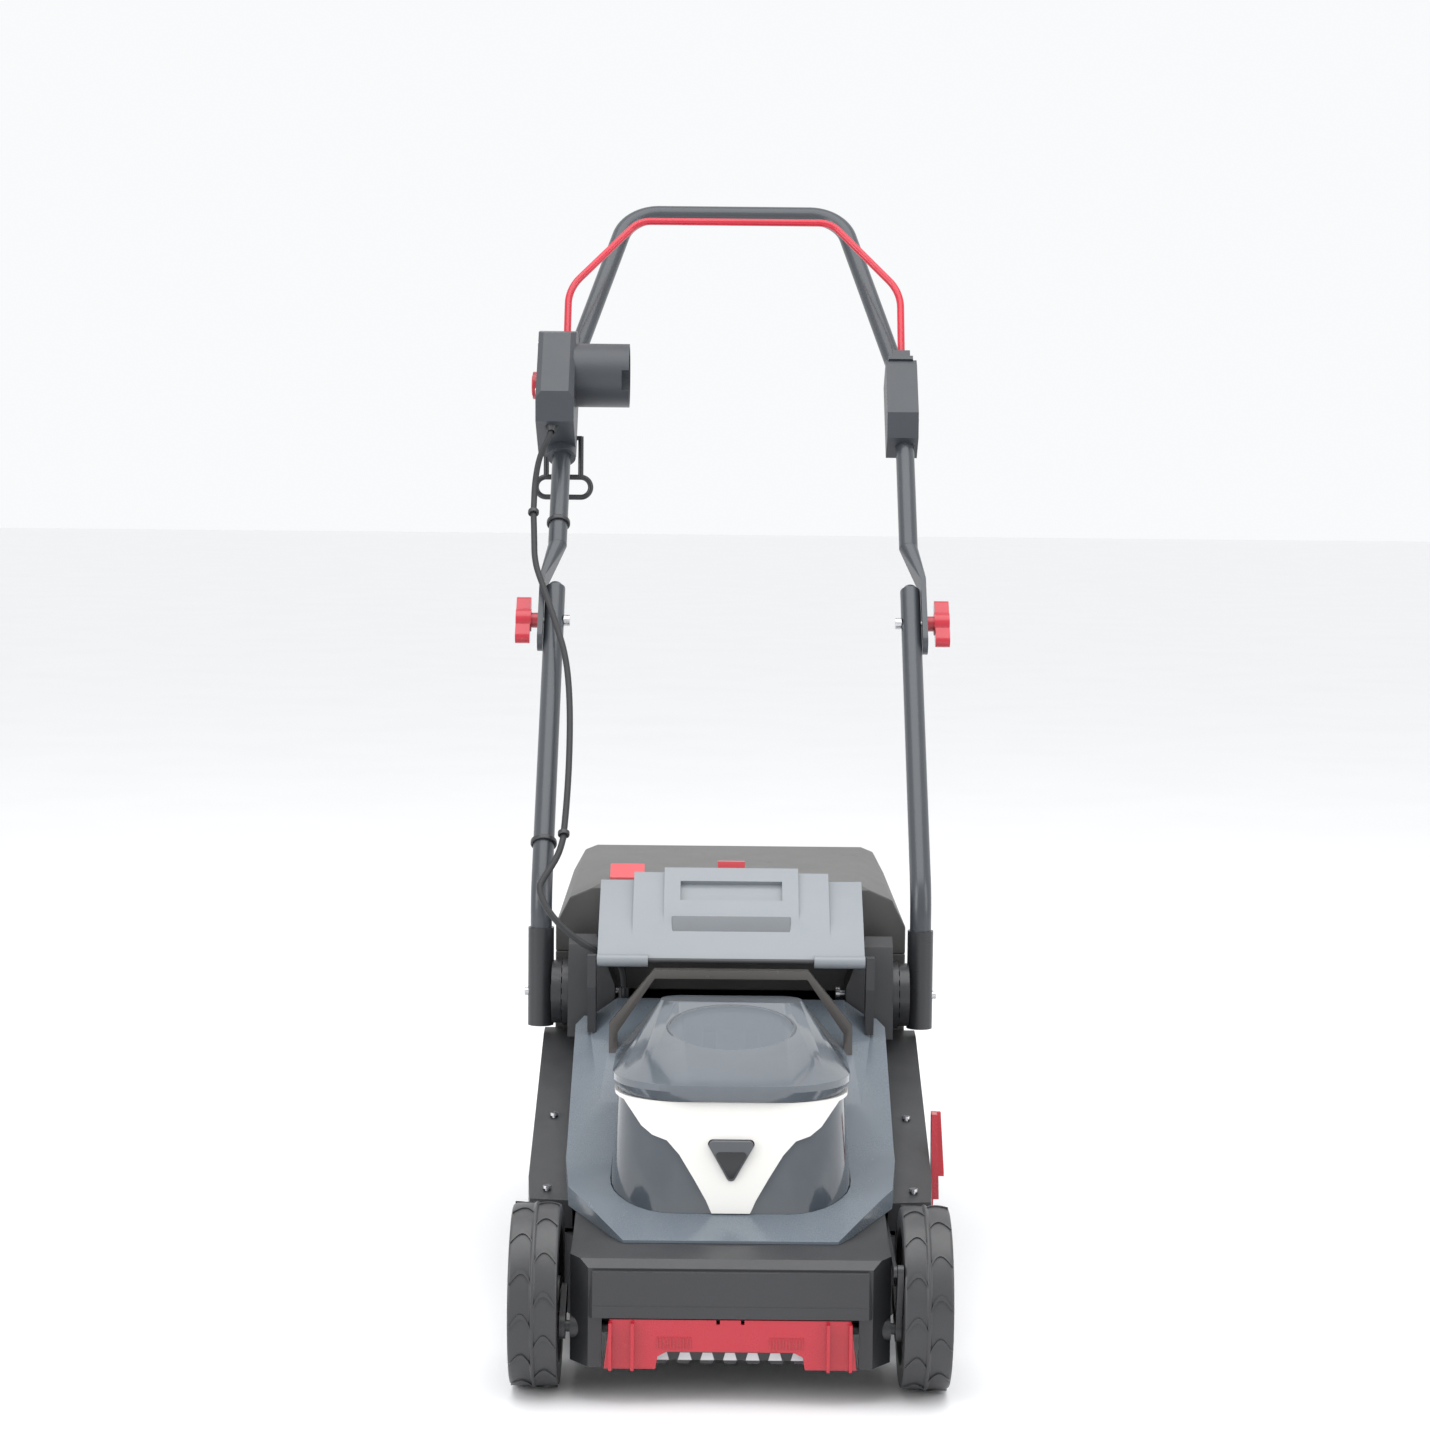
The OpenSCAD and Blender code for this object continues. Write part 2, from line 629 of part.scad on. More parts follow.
// Upper half of the box, which closes it and carries the vents, grip well and indicator
module grass_box_lid() {
    color(black) difference() {
        box_form(0);
        box_form(box_wall);
        translate([-200, 300, 0]) cube([400, 700, box_split]);
        translate([-well_half_w, 452, 360]) cube([2 * well_half_w, 36, 40]);
        translate([-15, 416, 370]) cube([30, 26, 40]);
    }
}
module grass_box_handle() {
    half_w = well_half_w - 0.2;
    color("#303236") {
        difference() {
            translate([-half_w, 452.2, 352]) cube([2 * half_w, 35.6, 35]);
            translate([6 - half_w, 455, 355]) cube([2 * (half_w - 6), 30, 50]);
        }
        translate([5.9 - half_w, 464, 372]) cube([2 * (half_w - 5.9), 12, 12]);
    }
}
module fill_indicator() {
    color("#d9414f") difference() {
        union() {
            translate([-13.5, 418, 374]) cube([27, 4, 34]);
            at_yz([420, 376]) x_rod(3.5, -13.5, 13.5);
        }
        at_yz([420, 376]) x_rod(1.5 + run_gap, -30, 30);
    }
}

// One axle: the pivot rod across the deck, a crank arm at each end and the wheels' stubs
module axle(pivot, wheel_at, reach, w) {
    color(steel) {
        at_yz(pivot) x_rod(axle_d / 2, -arm_x - 1, arm_x + 1);
        both_sides() difference() {
            union() {
                hull() {
                    at_yz(pivot) x_rod(11, arm_x, arm_x + arm_t);
                    at_yz(wheel_at) x_rod(10, arm_x, arm_x + arm_t);
                }
                at_yz(wheel_at) x_rod(5, arm_x, reach - 9);
            }
        }
        // Arm that carries the link of the two axles, on one side only
        hull() {
            at_yz(pivot) x_rod(8, arm_x, arm_x + arm_t);
            at_yz(rod_end(pivot)) x_rod(6, arm_x, arm_x + arm_t);
        }
    }
}
module front_axle() { axle(front_pivot, [0, front_r], front_track, front_wheel_w); }
module rear_axle() { axle(rear_pivot, [wheelbase, rear_r], rear_track, rear_wheel_w); }
module tie_rod() {
    ends = [rod_end(front_pivot), rod_end(rear_pivot)];
    color("#1e1f22") {
        hull() for (p = ends) at_yz(p) x_rod(tie_eye_r - 1.5, tie_x, tie_x + tie_t);
        for (p = ends) at_yz(p) x_rod(tie_eye_r, tie_x, tie_x + tie_t);
    }
}
module height_lever() {
    color(red) at_yz([lever_y, lever_z]) {
        x_rod(8, deck_half_w - 7, deck_half_w + 4);
        hull() {
            translate([deck_half_w + 2, -8, 0]) cube([7, 16, 4]);
            translate([deck_half_w + 2, -2, lever_len - 8]) cube([5, 18, 8]);
        }
        hull() {
            translate([deck_half_w + 2, 0, 20]) cube([12, 8, 4]);
            translate([deck_half_w + 2, 10, lever_len - 4]) cube([9, 5, 4]);
        }
    }
}

module wheel(r, w, x_in, y, z) {
    translate([x_in, y, z]) rotate([0, 90, 0]) difference() {
        union() {
            rotate_extrude($fn = 96) polygon([
                [9, 4], [r - 22, 4], [r - 20, 0], [r - 3, 0], [r - 1.5, 3], [r - 1.5, w / 2 - 2], [r, w / 2 - 1.2],
                [r, w / 2 + 1.2], [r - 1.5, w / 2 + 2], [r - 1.5, w - 3], [r - 3, w], [r - 20, w], [r - 24, w - 9],
                [16, w - 12], [16, w - 8], [9, w - 8]
            ]);
            cylinder(r = 16, h = w - 8);
        }
        translate([0, 0, -1]) cylinder(r = 5 + run_gap, h = w - 7);
    }
}
module wheel_front(side) { wheel_at(side, front_r, front_wheel_w, front_track, 0, front_r); }
module wheel_rear(side) { wheel_at(side, rear_r, rear_wheel_w, rear_track, wheelbase, rear_r); }
module wheel_at(side, r, w, track, y, z) {
    color("#232427") mirror([side < 0 ? 1 : 0, 0, 0]) wheel(r, w, track - w, y, z);
}
// End caps on the axles' stubs
module hub_caps(track, y, z) {
    color("#55595e") both_sides() translate([track - 7.8, y, z]) rotate([0, 90, 0]) cylinder(r = 13, h = 6);
}

// A planar tube through corner points with a bend radius at each, drawn in X and Z
bend_lap = 1;
bend_swell = 0.03;
function unit(v) = v / norm(v);
function turn(a, b) = atan2(a[0] * b[1] - a[1] * b[0], a[0] * b[0] + a[1] * b[1]);
module bent_tube(points, radii, r) {
    last = len(points) - 1;
    cut = [for (i = [0:last]) i == 0 || i == last ? 0 :
        radii[i] * tan(abs(turn(points[i] - points[i - 1], points[i + 1] - points[i])) / 2)];
    rotate([90, 0, 0]) {
        for (i = [0:last - 1]) {
            d = unit(points[i + 1] - points[i]);
            // Straight runs reach a little into the bends, which are a hair thicker
            into = [i == 0 ? 0 : bend_lap, i == last - 1 ? 0 : bend_lap];
            start = points[i] + d * (cut[i] - into[0]);
            span = norm(points[i + 1] - points[i]) - cut[i] - cut[i + 1] + into[0] + into[1];
            translate([start[0], start[1], 0]) rotate([0, 0, atan2(d[1], d[0])]) rotate([0, 90, 0])
                cylinder(r = r, h = span);
        }
        for (i = [1:last - 1]) {
            d = unit(points[i] - points[i - 1]);
            a = turn(points[i] - points[i - 1], points[i + 1] - points[i]);
            s = a > 0 ? 1 : -1;
            centre = points[i] - d * cut[i] + s * radii[i] * [-d[1], d[0]];
            from = atan2(d[1], d[0]) - s * 90 + (s < 0 ? a : 0);
            translate([centre[0], centre[1], 0]) rotate([0, 0, from]) rotate_extrude(angle = abs(a), $fn = 96)
                translate([radii[i], 0]) circle(r = r + bend_swell, $fn = 48);
        }
    }
}
plate_x = handle_half_w + lower_tube_d / 2 + 0.3;
plate_t = 5.5;
lean = 0.25;
round_from = 100;
bend_s = 327;
corner_x = handle_half_w - lean * (upper_run - bend_s);
module u_tube(r) {
    bent_tube(
        [[-handle_half_w, round_from], [-handle_half_w, bend_s], [-corner_x, upper_run],
            [corner_x, upper_run], [handle_half_w, bend_s], [handle_half_w, round_from]],
        [0, 120, 45, 45, 120, 0], r);
}
module lower_handle() {
    sleeve_top = 346;
    color(slate) both_sides() difference() {
        union() {
            translate([handle_half_w, pivot_y, 0]) rotate([0, 0, 90])
                bent_tube(
                    [[0, 252], [0, bend_z], [(lower_run + tube_over_knob) * up_y, bend_z + (lower_run + tube_over_knob) * up_z]],
                    [0, 60, 0], lower_tube_d / 2);
            translate([handle_half_w, 0, 0]) on_slope() translate([0, 0, tube_over_knob - 1])
                cylinder(r1 = lower_tube_d / 2 - 0.1, r2 = lower_tube_d / 2 - 4, h = 6);
        }
        at_yz([pivot_y, pivot_z]) x_rod(4 + run_gap, 100, 220);
        on_slope() x_rod(3 + run_gap, 100, 220);
    }
}
module pivot_sleeves() {
    color(black) both_sides() difference() {
        union() {
            translate([handle_half_w, pivot_y, 249]) cylinder(r = 12.7, h = 97);
            at_yz([pivot_y, pivot_z]) x_rod(31, 166, 175.5);
            at_yz([pivot_y, pivot_z]) translate([172, -8, -8]) cube([12, 16, 16]);
        }
        translate([handle_half_w, pivot_y, 251]) cylinder(r = lower_tube_d / 2 + face_gap, h = 120);
        at_yz([pivot_y, pivot_z]) x_rod(4 + run_gap, 100, 220);
    }
}
module upper_handle() {
    color(slate) difference() {
        union() {
            on_slope() u_tube(upper_tube_d / 2);
            on_slope() both_sides() {
                hull() {
                    translate([handle_half_w, 0, round_from - 1]) cylinder(r = upper_tube_d / 2 - 0.2, h = 2, $fn = 32);
                    translate([plate_x, -13, 50]) cube([plate_t, 26, 1]);
                }
                hull() {
                    translate([plate_x, -13, 49]) cube([plate_t, 26, 2]);
                    translate([0, 0, -24]) x_rod(13, plate_x, plate_x + plate_t);
                }
            }
        }
        on_slope() x_rod(3 + run_gap, -230, 230);
    }
}
module clamp_bolts() {
    // Bolts through tube and plate, with a domed nut on the inner side
    color(steel) both_sides() on_slope() {
        x_rod(3, handle_half_w - lower_tube_d / 2 - 2, plate_x + plate_t + 9);
        x_rod(6, handle_half_w - lower_tube_d / 2 - 6, handle_half_w - lower_tube_d / 2 - face_gap);
    }
}
module knob(side) {
    root = plate_x + plate_t + 0.3;
    color(red) mirror([side < 0 ? 1 : 0, 0, 0]) on_slope() difference() {
        union() {
            x_rod(8, root, root + 9);
            x_rod(12, root + 7, root + 23);
            hull() for (z = [-1, 1])
                translate([root + 8, 0, z * (knob_span / 2 - 7)]) rotate([0, 90, 0]) cylinder(r = 7, h = 15, $fn = 32);
        }
        x_rod(3 + run_gap, root - 1, root + 12);
    }
}

// Switch box on the left leg; its profile runs along the slope and its plug shroud points inwards
box_x = handle_half_w + 26;
box_w = 41;
bail_pivot = [-16, 330];
bail_rest = 14;
bail_len = 192;
bail_pin_r = bail_d / 2 + 0.5;
plug_at = [-46, 300];
module slope_profile(x0, w, points) {
    translate([x0, 0, 0]) rotate([90, 0, 90]) linear_extrude(w) polygon(points);
}
module bail_slot(x0, x1) {
    slope_profile(x0, x1 - x0, [
        [-22, 322], [-9, 322], [-9, 340], [-8, 415], [-62, 415], [-26, 345]
    ]);
}
module switch_box() {
    color("#3a3f45") on_slope() difference() {
        union() {
            difference() {
                slope_profile(-box_x, box_w, [
                    [18, 238], [-18, 230], [-60, 222], [-84, 244], [-84, 328], [-62, 350], [8, 402], [18, 392]
                ]);
                slope_profile(-box_x + 3, 12, [
                    [14, 245], [-18, 236], [-59, 226], [-80, 246], [-80, 326], [-60, 344], [6, 394], [14, 388]
                ]);
                both_chamfers();
            }
            translate([-handle_half_w, 0, 222]) cylinder(r = 15.5, h = 20);
            translate([-box_x + box_w - 2, plug_at[0], plug_at[1]]) rotate([0, 90, 0]) difference() {
                cylinder(r = plug_d / 2, h = plug_depth + 2);
                translate([0, 0, 2]) cylinder(r = plug_d / 2 - plug_wall, h = plug_depth + 2);
                rotate(-40) translate([0, -11, plug_depth - 6]) cube([60, 22, 20]);
            }
            translate([-handle_half_w - 14, 17, 262]) cube([28, 12, 16]);
        }
        u_tube(upper_tube_d / 2 + face_gap);
        translate([-handle_half_w, 0, 200]) cylinder(r = upper_tube_d / 2 + face_gap, h = 100);
        bail_slot(-handle_half_w - 7, -handle_half_w + 11);
        translate([0, bail_pivot[0], bail_pivot[1]]) x_rod(bail_pin_r + run_gap, -box_x + 2, -box_x + box_w - 4);
        translate([0, lock_at[0], lock_at[1]]) x_rod(15.4, -box_x - 2, -box_x + 10);
        translate([0, hook_at[0], hook_at[1]]) x_rod(2.5 + run_gap, -220, -150);
        translate([gland_box[0], gland_box[1], 200]) cylinder(r = cable_d / 2 + 3 * face_gap, h = 40);
    }
}
lock_at = [-40, 290];
hook_at = [24, 270];
gland_box = [-196, -48];
module both_chamfers() {
    for (x = [-box_x, -box_x + box_w]) translate([x, -84, 200]) rotate(45) translate([-4, -4, 0]) cube([8, 8, 240]);
}
module switch_unit() {
    // Microswitch inside the box, above the cable's entry, and the button's return spring
    color("#b9bcc0") on_slope() translate([-box_x + 4, -72, 256]) cube([10, 14, 40]);
    color(steel) on_slope() translate([0, lock_at[0], lock_at[1]]) difference() {
        x_rod(6, -box_x + 11.2, -box_x + 14.2);
        x_rod(4.6, -box_x + 10, -box_x + 16);
    }
}
module lock_button() {
    color(red) on_slope() translate([0, lock_at[0], lock_at[1]]) union() {
        x_rod(15, -box_x - 6, -box_x + 6);
        x_rod(11, -box_x - 7, -box_x + 6);
    }
}
module bail_holder() {
    color("#3a3f45") on_slope() difference() {
        union() {
            slope_profile(handle_half_w - 20, 34, [[17, 240], [-17, 240], [-34, 262], [-34, 330], [-30, 341], [17, 341]]);
            slope_profile(handle_half_w - 17, 27, [[12, 340], [-33, 340], [-33, 345], [12, 345]]);
            slope_profile(handle_half_w - 12, 19, [[-10, 344], [-31, 344], [-31, 358], [-10, 358]]);
        }
        u_tube(upper_tube_d / 2 + face_gap);
        bail_slot(handle_half_w - 11, handle_half_w + 7);
        translate([0, bail_pivot[0], bail_pivot[1]]) x_rod(bail_pin_r + run_gap, handle_half_w - 15, handle_half_w + 11);
    }
}
module bail_rod() {
    leg = handle_half_w - 2;
    flat = 108;
    color(red) on_slope() translate([0, bail_pivot[0], bail_pivot[1]]) rotate([bail_rest, 0, 0]) union() {
        bent_tube([[-leg, 0], [-leg, 105], [-flat, bail_len], [flat, bail_len], [leg, 105], [leg, 0]],
            [0, 50, 30, 30, 50, 0], bail_d / 2);
        x_rod(bail_pin_r, leg - 12, leg + 11);
        x_rod(bail_pin_r, -leg - 11, -leg + 8);
    }
}
module cord_hook() {
    pin = [knob_y + hook_at[1] * up_y + hook_at[0] * up_z, knob_z + hook_at[1] * up_z - hook_at[0] * up_y];
    x0 = -handle_half_w;
    drop = 54;
    color("#2a2d31") at_yz(pin) {
        x_rod(2.5, x0 - 20, x0 + 20);
        for (s = [-1, 1]) translate([x0 + s * 19, 0, -drop + 12]) cylinder(r = 3, h = drop - 12 + 2);
        translate([x0, 0, -drop]) rotate([90, 0, 0]) union() {
            for (s = [-1, 1]) translate([s * 19, 0, 0]) rotate([0, 0, s > 0 ? -90 : 90])
                rotate_extrude(angle = 180) translate([11, 0]) circle(r = 3, $fn = 32);
            for (y = [-11, 11]) translate([-19, y, 0]) rotate([0, 90, 0]) cylinder(r = 3, h = 38);
        }
    }
}

// Cable: out of the box, down the left leg, across the pivots and into the deck
cable_d = 6.5;
function rings(path) = [for (i = [0:len(path) - 1])
    let (a = path[max(i - 1, 0)], b = path[min(i + 1, len(path) - 1)], d = unit(b - a),
        side = unit(cross(d, [0.3, 1, 0.2])), over = cross(d, side))
    for (k = [0:7]) path[i] + cable_d / 2 * (cos(45 * k) * side + sin(45 * k) * over)];
function smooth(p, steps) = [for (i = [0:len(p) - 2], s = [0:steps - 1])
    let (t = s / steps, a = p[max(i - 1, 0)], b = p[i], c = p[i + 1], d = p[min(i + 2, len(p) - 1)])
    0.5 * ((2 * b) + (c - a) * t + (2 * a - 5 * b + 4 * c - d) * t * t + (3 * b - a - 3 * c + d) * t * t * t)];
module sweep(points) {
    path = concat(smooth(points, 3), [points[len(points) - 1]]);
    n = len(path);
    polyhedron(rings(path), concat(
        [[for (k = [0:7]) k]],
        [[for (k = [7:-1:0]) (n - 1) * 8 + k]],
        [for (i = [0:n - 2], k = [0:7]) [i * 8 + k, (i + 1) * 8 + k, (i + 1) * 8 + (k + 1) % 8, i * 8 + (k + 1) % 8]]
    ));
}
// Points along the slope: X, behind the handle's plane, up the slope from the knob
function slope_point(p) = [p[0], knob_y + p[2] * up_y + p[1] * up_z, knob_z + p[2] * up_z - p[1] * up_y];
upper_route = [[-196, -48, 226], [-197, -48, 216], [-208, -36, 196], [-213, -22, 170], [-213, -18, 140], [-211, -18, 100],
    [-209, -20, 60], [-196, -23, 20]];
lower_route = [[-196, -23, 19.5], [-184, -24, -20], [-172, -22, -60], [-166, -17, -110], [-164, -15, -180],
    [-165, -16, -250], [-167, -17, -284], [-173, -20, -310], [-184, -24, -334]];
deck_route = [[-189, 353, 388], [-178, 338, 366], [-152, 331, 342], [-127, 333, 328], [-110, 341, 318], [-104, 345, 307],
    [-104, 345, 298], [-104, 345, 240]];
module upper_cable() { color("#26282b") sweep([for (p = upper_route) slope_point(p)]); }
module lower_cable() { color("#26282b") sweep([for (p = lower_route) slope_point(p)]); }
module deck_cable() {
    color("#26282b") sweep(concat([slope_point(lower_route[len(lower_route) - 1] - [0, 0, 1.2])], deck_route));
}
// Rings round the left leg, each with a small eye for the cable
module cable_clip_upper() {
    color("#1e1f22") on_slope() clip(-handle_half_w, upper_tube_d / 2, -213, -18, 128);
}
module cable_clip_lower() {
    color("#1e1f22") on_slope() clip(-handle_half_w, lower_tube_d / 2, -166.5, -17, -280);
}
module clip(x, r, eye_x, eye_y, s) {
    translate([0, 0, s]) difference() {
        union() {
            translate([x, 0, 0]) cylinder(r = r + 2.6, h = 5);
            translate([eye_x, eye_y, 0]) cylinder(r = cable_d / 2 + 2.6, h = 5);
        }
        translate([x, 0, -1]) cylinder(r = r + face_gap, h = 7);
        translate([eye_x, eye_y, -1]) cylinder(r = cable_d / 2 + 0.6, h = 7);
    }
}

placed() deck();
placed() blade_ring();
placed() bumper();
placed() front_grip();
placed() comb_strip();
placed() top_shroud();
placed() motor_housing();
placed() trim_frame();
placed() battery_tray();
placed() battery_contacts();
placed() controller_board();
placed() motor_stator();
placed() carry_handle();
placed() pivot_humps();
placed() pivot_discs();
placed() deck_fasteners();
placed() cable_gland();
placed() rotor();
placed() fan();
placed() blade_hub();
placed() blade();
placed() blade_bolt();
placed() battery_lid();
placed() lid_hinge_pin();
placed() battery();
placed() latch_button();
placed() latch_spring();
placed() rear_flap();
placed() flap_hinge_pin();
placed() grass_box();
placed() grass_box_lid();
placed() grass_box_handle();
placed() fill_indicator();
placed() front_axle();
placed() rear_axle();
placed() tie_rod();
placed() height_lever();
placed() wheel_front(-1);  // wheel_front_left
placed() wheel_front(1);  // wheel_front_right
placed() wheel_rear(-1);  // wheel_rear_left
placed() wheel_rear(1);  // wheel_rear_right
placed() hub_caps(front_track, 0, front_r);  // hub_caps_front
placed() hub_caps(rear_track, wheelbase, rear_r);  // hub_caps_rear
placed() lower_handle();
placed() pivot_sleeves();
placed() upper_handle();
placed() clamp_bolts();
placed() knob(-1);  // knob_left
placed() knob(1);  // knob_right
placed() switch_box();
placed() switch_unit();
placed() bail_holder();
placed() bail_rod();
placed() lock_button();
placed() cord_hook();
placed() cable_clip_upper();
placed() cable_clip_lower();
placed() upper_cable();
placed() lower_cable();
placed() deck_cable();
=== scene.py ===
import json
import math

import bmesh
import bpy
from mathutils import Matrix, Vector


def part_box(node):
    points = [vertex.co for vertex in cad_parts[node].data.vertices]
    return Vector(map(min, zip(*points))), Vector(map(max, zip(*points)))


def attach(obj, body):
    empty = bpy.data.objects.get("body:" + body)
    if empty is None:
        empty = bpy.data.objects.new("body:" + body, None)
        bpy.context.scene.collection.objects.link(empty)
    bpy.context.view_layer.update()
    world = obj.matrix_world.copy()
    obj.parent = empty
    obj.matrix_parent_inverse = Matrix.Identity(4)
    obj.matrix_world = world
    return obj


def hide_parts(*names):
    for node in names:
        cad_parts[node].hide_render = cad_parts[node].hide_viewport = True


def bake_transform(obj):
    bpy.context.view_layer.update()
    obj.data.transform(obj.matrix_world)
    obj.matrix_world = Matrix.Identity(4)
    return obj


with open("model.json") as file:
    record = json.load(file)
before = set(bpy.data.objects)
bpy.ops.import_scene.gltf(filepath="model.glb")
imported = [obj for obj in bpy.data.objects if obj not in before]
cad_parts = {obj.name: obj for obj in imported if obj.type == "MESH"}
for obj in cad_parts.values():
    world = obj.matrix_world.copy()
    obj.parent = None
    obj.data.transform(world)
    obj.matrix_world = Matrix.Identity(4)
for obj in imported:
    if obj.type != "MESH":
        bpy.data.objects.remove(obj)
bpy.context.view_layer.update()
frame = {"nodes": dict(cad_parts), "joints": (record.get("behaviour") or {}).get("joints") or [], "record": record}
nodes = frame["nodes"]
mm = 0.001
print("frame loaded:", len(nodes), "nodes")


def centreOf(node):
    low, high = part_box(node)
    return (low + high) / 2


def jointNamed(name):
    return next(j for j in frame["joints"] if j["name"] == name)


# camera: 0.81 m up, 2.7 m ahead of the front axle, tipped down to take in the wheels
view = {
    "height": 0.809, "ahead": 2.703, "aside": -0.021,
    "tip": 4.668, "turn": -0.016, "roll": -0.554, "focal": 79.4,
}
frontAxle = centreOf("wheel_front_left")
camera = bpy.data.objects.new("viewCamera", bpy.data.cameras.new("viewCamera"))
bpy.context.collection.objects.link(camera)
camera.data.lens = view["focal"]
camera.data.sensor_width = 36
camera.location = (view["aside"], frontAxle.y - view["ahead"], view["height"])
aim = (90 - view["tip"], view["roll"], view["turn"])
camera.rotation_euler = [math.radians(angle) for angle in aim]
bpy.context.scene.camera = camera


# shader maths
class Wire:
    # one output socket; + - * / on it add Math nodes
    def __init__(self, paint, socket):
        self.paint = paint
        self.socket = socket

    def math(self, operation, a, b=None, c=None):
        values = [v for v in (a, b, c) if v is not None]
        return self.paint.add("ShaderNodeMath", {"operation": operation}, values)

    def __add__(self, other):
        return self.math("ADD", self, other)

    __radd__ = __add__

    def __sub__(self, other):
        return self.math("SUBTRACT", self, other)

    def __rsub__(self, other):
        return self.math("SUBTRACT", other, self)

    def __mul__(self, other):
        return self.math("MULTIPLY", self, other)

    __rmul__ = __mul__

    def __truediv__(self, other):
        return self.math("DIVIDE", self, other)

    def clamped(self):
        return self.math("MINIMUM", self.math("MAXIMUM", self, 0.0), 1.0)

    def size(self):
        return self.math("ABSOLUTE", self)


class Paint:
    # a material being built; add() makes every node
    def __init__(self, name):
        self.material = bpy.data.materials.new(name)
        self.material.use_nodes = True
        self.tree = self.material.node_tree
        self.surface = self.tree.nodes["Principled BSDF"]
        self.place = self.add("ShaderNodeTexCoord", {}, {}, "Object")

    def add(self, kind, settings, inputs, output=0):
        node = self.tree.nodes.new(kind)
        for key, value in settings.items():
            if key == "stops":
                for i, (at, colour) in enumerate(value):
                    stop = node.color_ramp.elements[i] if i < 2 else node.color_ramp.elements.new(at)
                    stop.position = at
                    stop.color = (*colour, 1)
            else:
                setattr(node, key, value)
        pairs = inputs.items() if isinstance(inputs, dict) else enumerate(inputs)
        for key, value in pairs:
            if isinstance(value, Wire):
                self.tree.links.new(value.socket, node.inputs[key])
            else:
                node.inputs[key].default_value = value
        return Wire(self, node.outputs[output])

    def set(self, **inputs):
        for key, value in inputs.items():
            socket = self.surface.inputs[key.replace("_", " ")]
            if isinstance(value, Wire):
                self.tree.links.new(value.socket, socket)
            else:
                socket.default_value = value
        return self

    def noise(self, scale, detail=2.0, rough=0.5, place=None):
        inputs = {"Vector": place or self.place, "Scale": scale, "Detail": detail, "Roughness": rough}
        return self.add("ShaderNodeTexNoise", {}, inputs, "Fac")

    def axis(self, name):
        return self.add("ShaderNodeSeparateXYZ", {}, {"Vector": self.place}, name)

    def blend(self, factor, a, b):
        inputs = {0: factor, 6: a, 7: b}
        return self.add("ShaderNodeMix", {"data_type": "RGBA"}, inputs, 2)

    def stretched(self, x, y, z):
        return self.add("ShaderNodeMapping", {}, {"Vector": self.place, "Scale": (x, y, z)}, "Vector")

    def bump(self, height, strength, distance):
        return self.add(
            "ShaderNodeBump", {}, {"Height": height, "Strength": strength, "Distance": distance}, "Normal"
        )


def rgb(colour, gain=1.0):
    return (colour[0] * gain, colour[1] * gain, colour[2] * gain, 1)


def dustAndTopLightMask(paint):
    # settled dust together with painted top light: faces that look up are lightened, broken by noise
    facing = paint.add("ShaderNodeNewGeometry", {}, {}, "Normal")
    up = paint.add("ShaderNodeSeparateXYZ", {}, {"Vector": facing}, "Z")
    return (up * paint.noise(38, 4, 0.6) * 0.5).clamped()


def plastic(name, colour, rough=0.45, grain=0.25, grainScale=1500, coat=0.0, dustAndTopLight=0.12, mottle=0.18):
    # moulded plastic: flow mottling, fine spark-eroded grain, and dust with painted top light on what looks up
    p = Paint(name)
    broad = p.noise(9, 3, 0.55)
    fine = p.noise(grainScale, 2, 0.6)
    base = p.blend(broad, rgb(colour, 1 - mottle), rgb(colour, 1 + mottle))
    # up-facing faces blended towards pale grey: settled dust together with painted top light
    base = p.blend(dustAndTopLightMask(p) * dustAndTopLight, base, (0.42, 0.41, 0.39, 1))
    scuffs = (p.noise(60, 5, 0.7, p.stretched(1, 0.25, 1)) - 0.62) * 3
    p.set(
        Base_Color=base,
        Roughness=(rough + (broad - 0.5) * 0.14 + scuffs.clamped() * 0.2 + (fine - 0.5) * 0.08).clamped(),
        Normal=p.bump(fine, grain, 0.0004),
        Coat_Weight=coat,
        Coat_Roughness=0.12,
    )
    return p.material


def powderCoat(name, colour, rough=0.34, peel=0.35):
    # baked powder coat on steel: orange peel, slight rub marks along the tube
    p = Paint(name)
    broad = p.noise(14, 3, 0.5)
    peelNoise = p.noise(420, 1.5, 0.4)
    rub = (p.noise(70, 6, 0.75, p.stretched(1.6, 0.5, 0.5)) - 0.6) * 4
    base = p.blend(broad, rgb(colour, 0.86), rgb(colour, 1.16))
    base = p.blend(rub.clamped() * 0.25, base, rgb(colour, 1.9))
    p.set(
        Base_Color=base,
        Roughness=(rough + (broad - 0.5) * 0.12 + rub.clamped() * 0.16).clamped(),
        Normal=p.bump(peelNoise, peel, 0.0005),
        Coat_Weight=0.25,
        Coat_Roughness=0.15,
    )
    return p.material


def metal(name, colour, rough=0.3, brushed=(1, 1, 1)):
    p = Paint(name)
    streak = p.noise(260, 5, 0.65, p.stretched(*brushed))
    spots = p.noise(45, 4, 0.6)
    base = p.blend(spots, rgb(colour, 0.82), rgb(colour, 1.1))
    p.set(
        Base_Color=base,
        Metallic=1.0,
        Roughness=(rough + (streak - 0.5) * 0.25 + (spots - 0.5) * 0.1).clamped(),
        Normal=p.bump(streak, 0.12, 0.0004),
    )
    return p.material


def rubber(name, colour, rough=0.55):
    p = Paint(name)
    fine = p.noise(900, 3, 0.6)
    broad = p.noise(24, 3, 0.5)
    p.set(
        Base_Color=p.blend(broad, rgb(colour, 0.8), rgb(colour, 1.35)),
        Roughness=(rough + (fine - 0.5) * 0.16).clamped(),
        Normal=p.bump(fine, 0.2, 0.0003),
    )
    return p.material


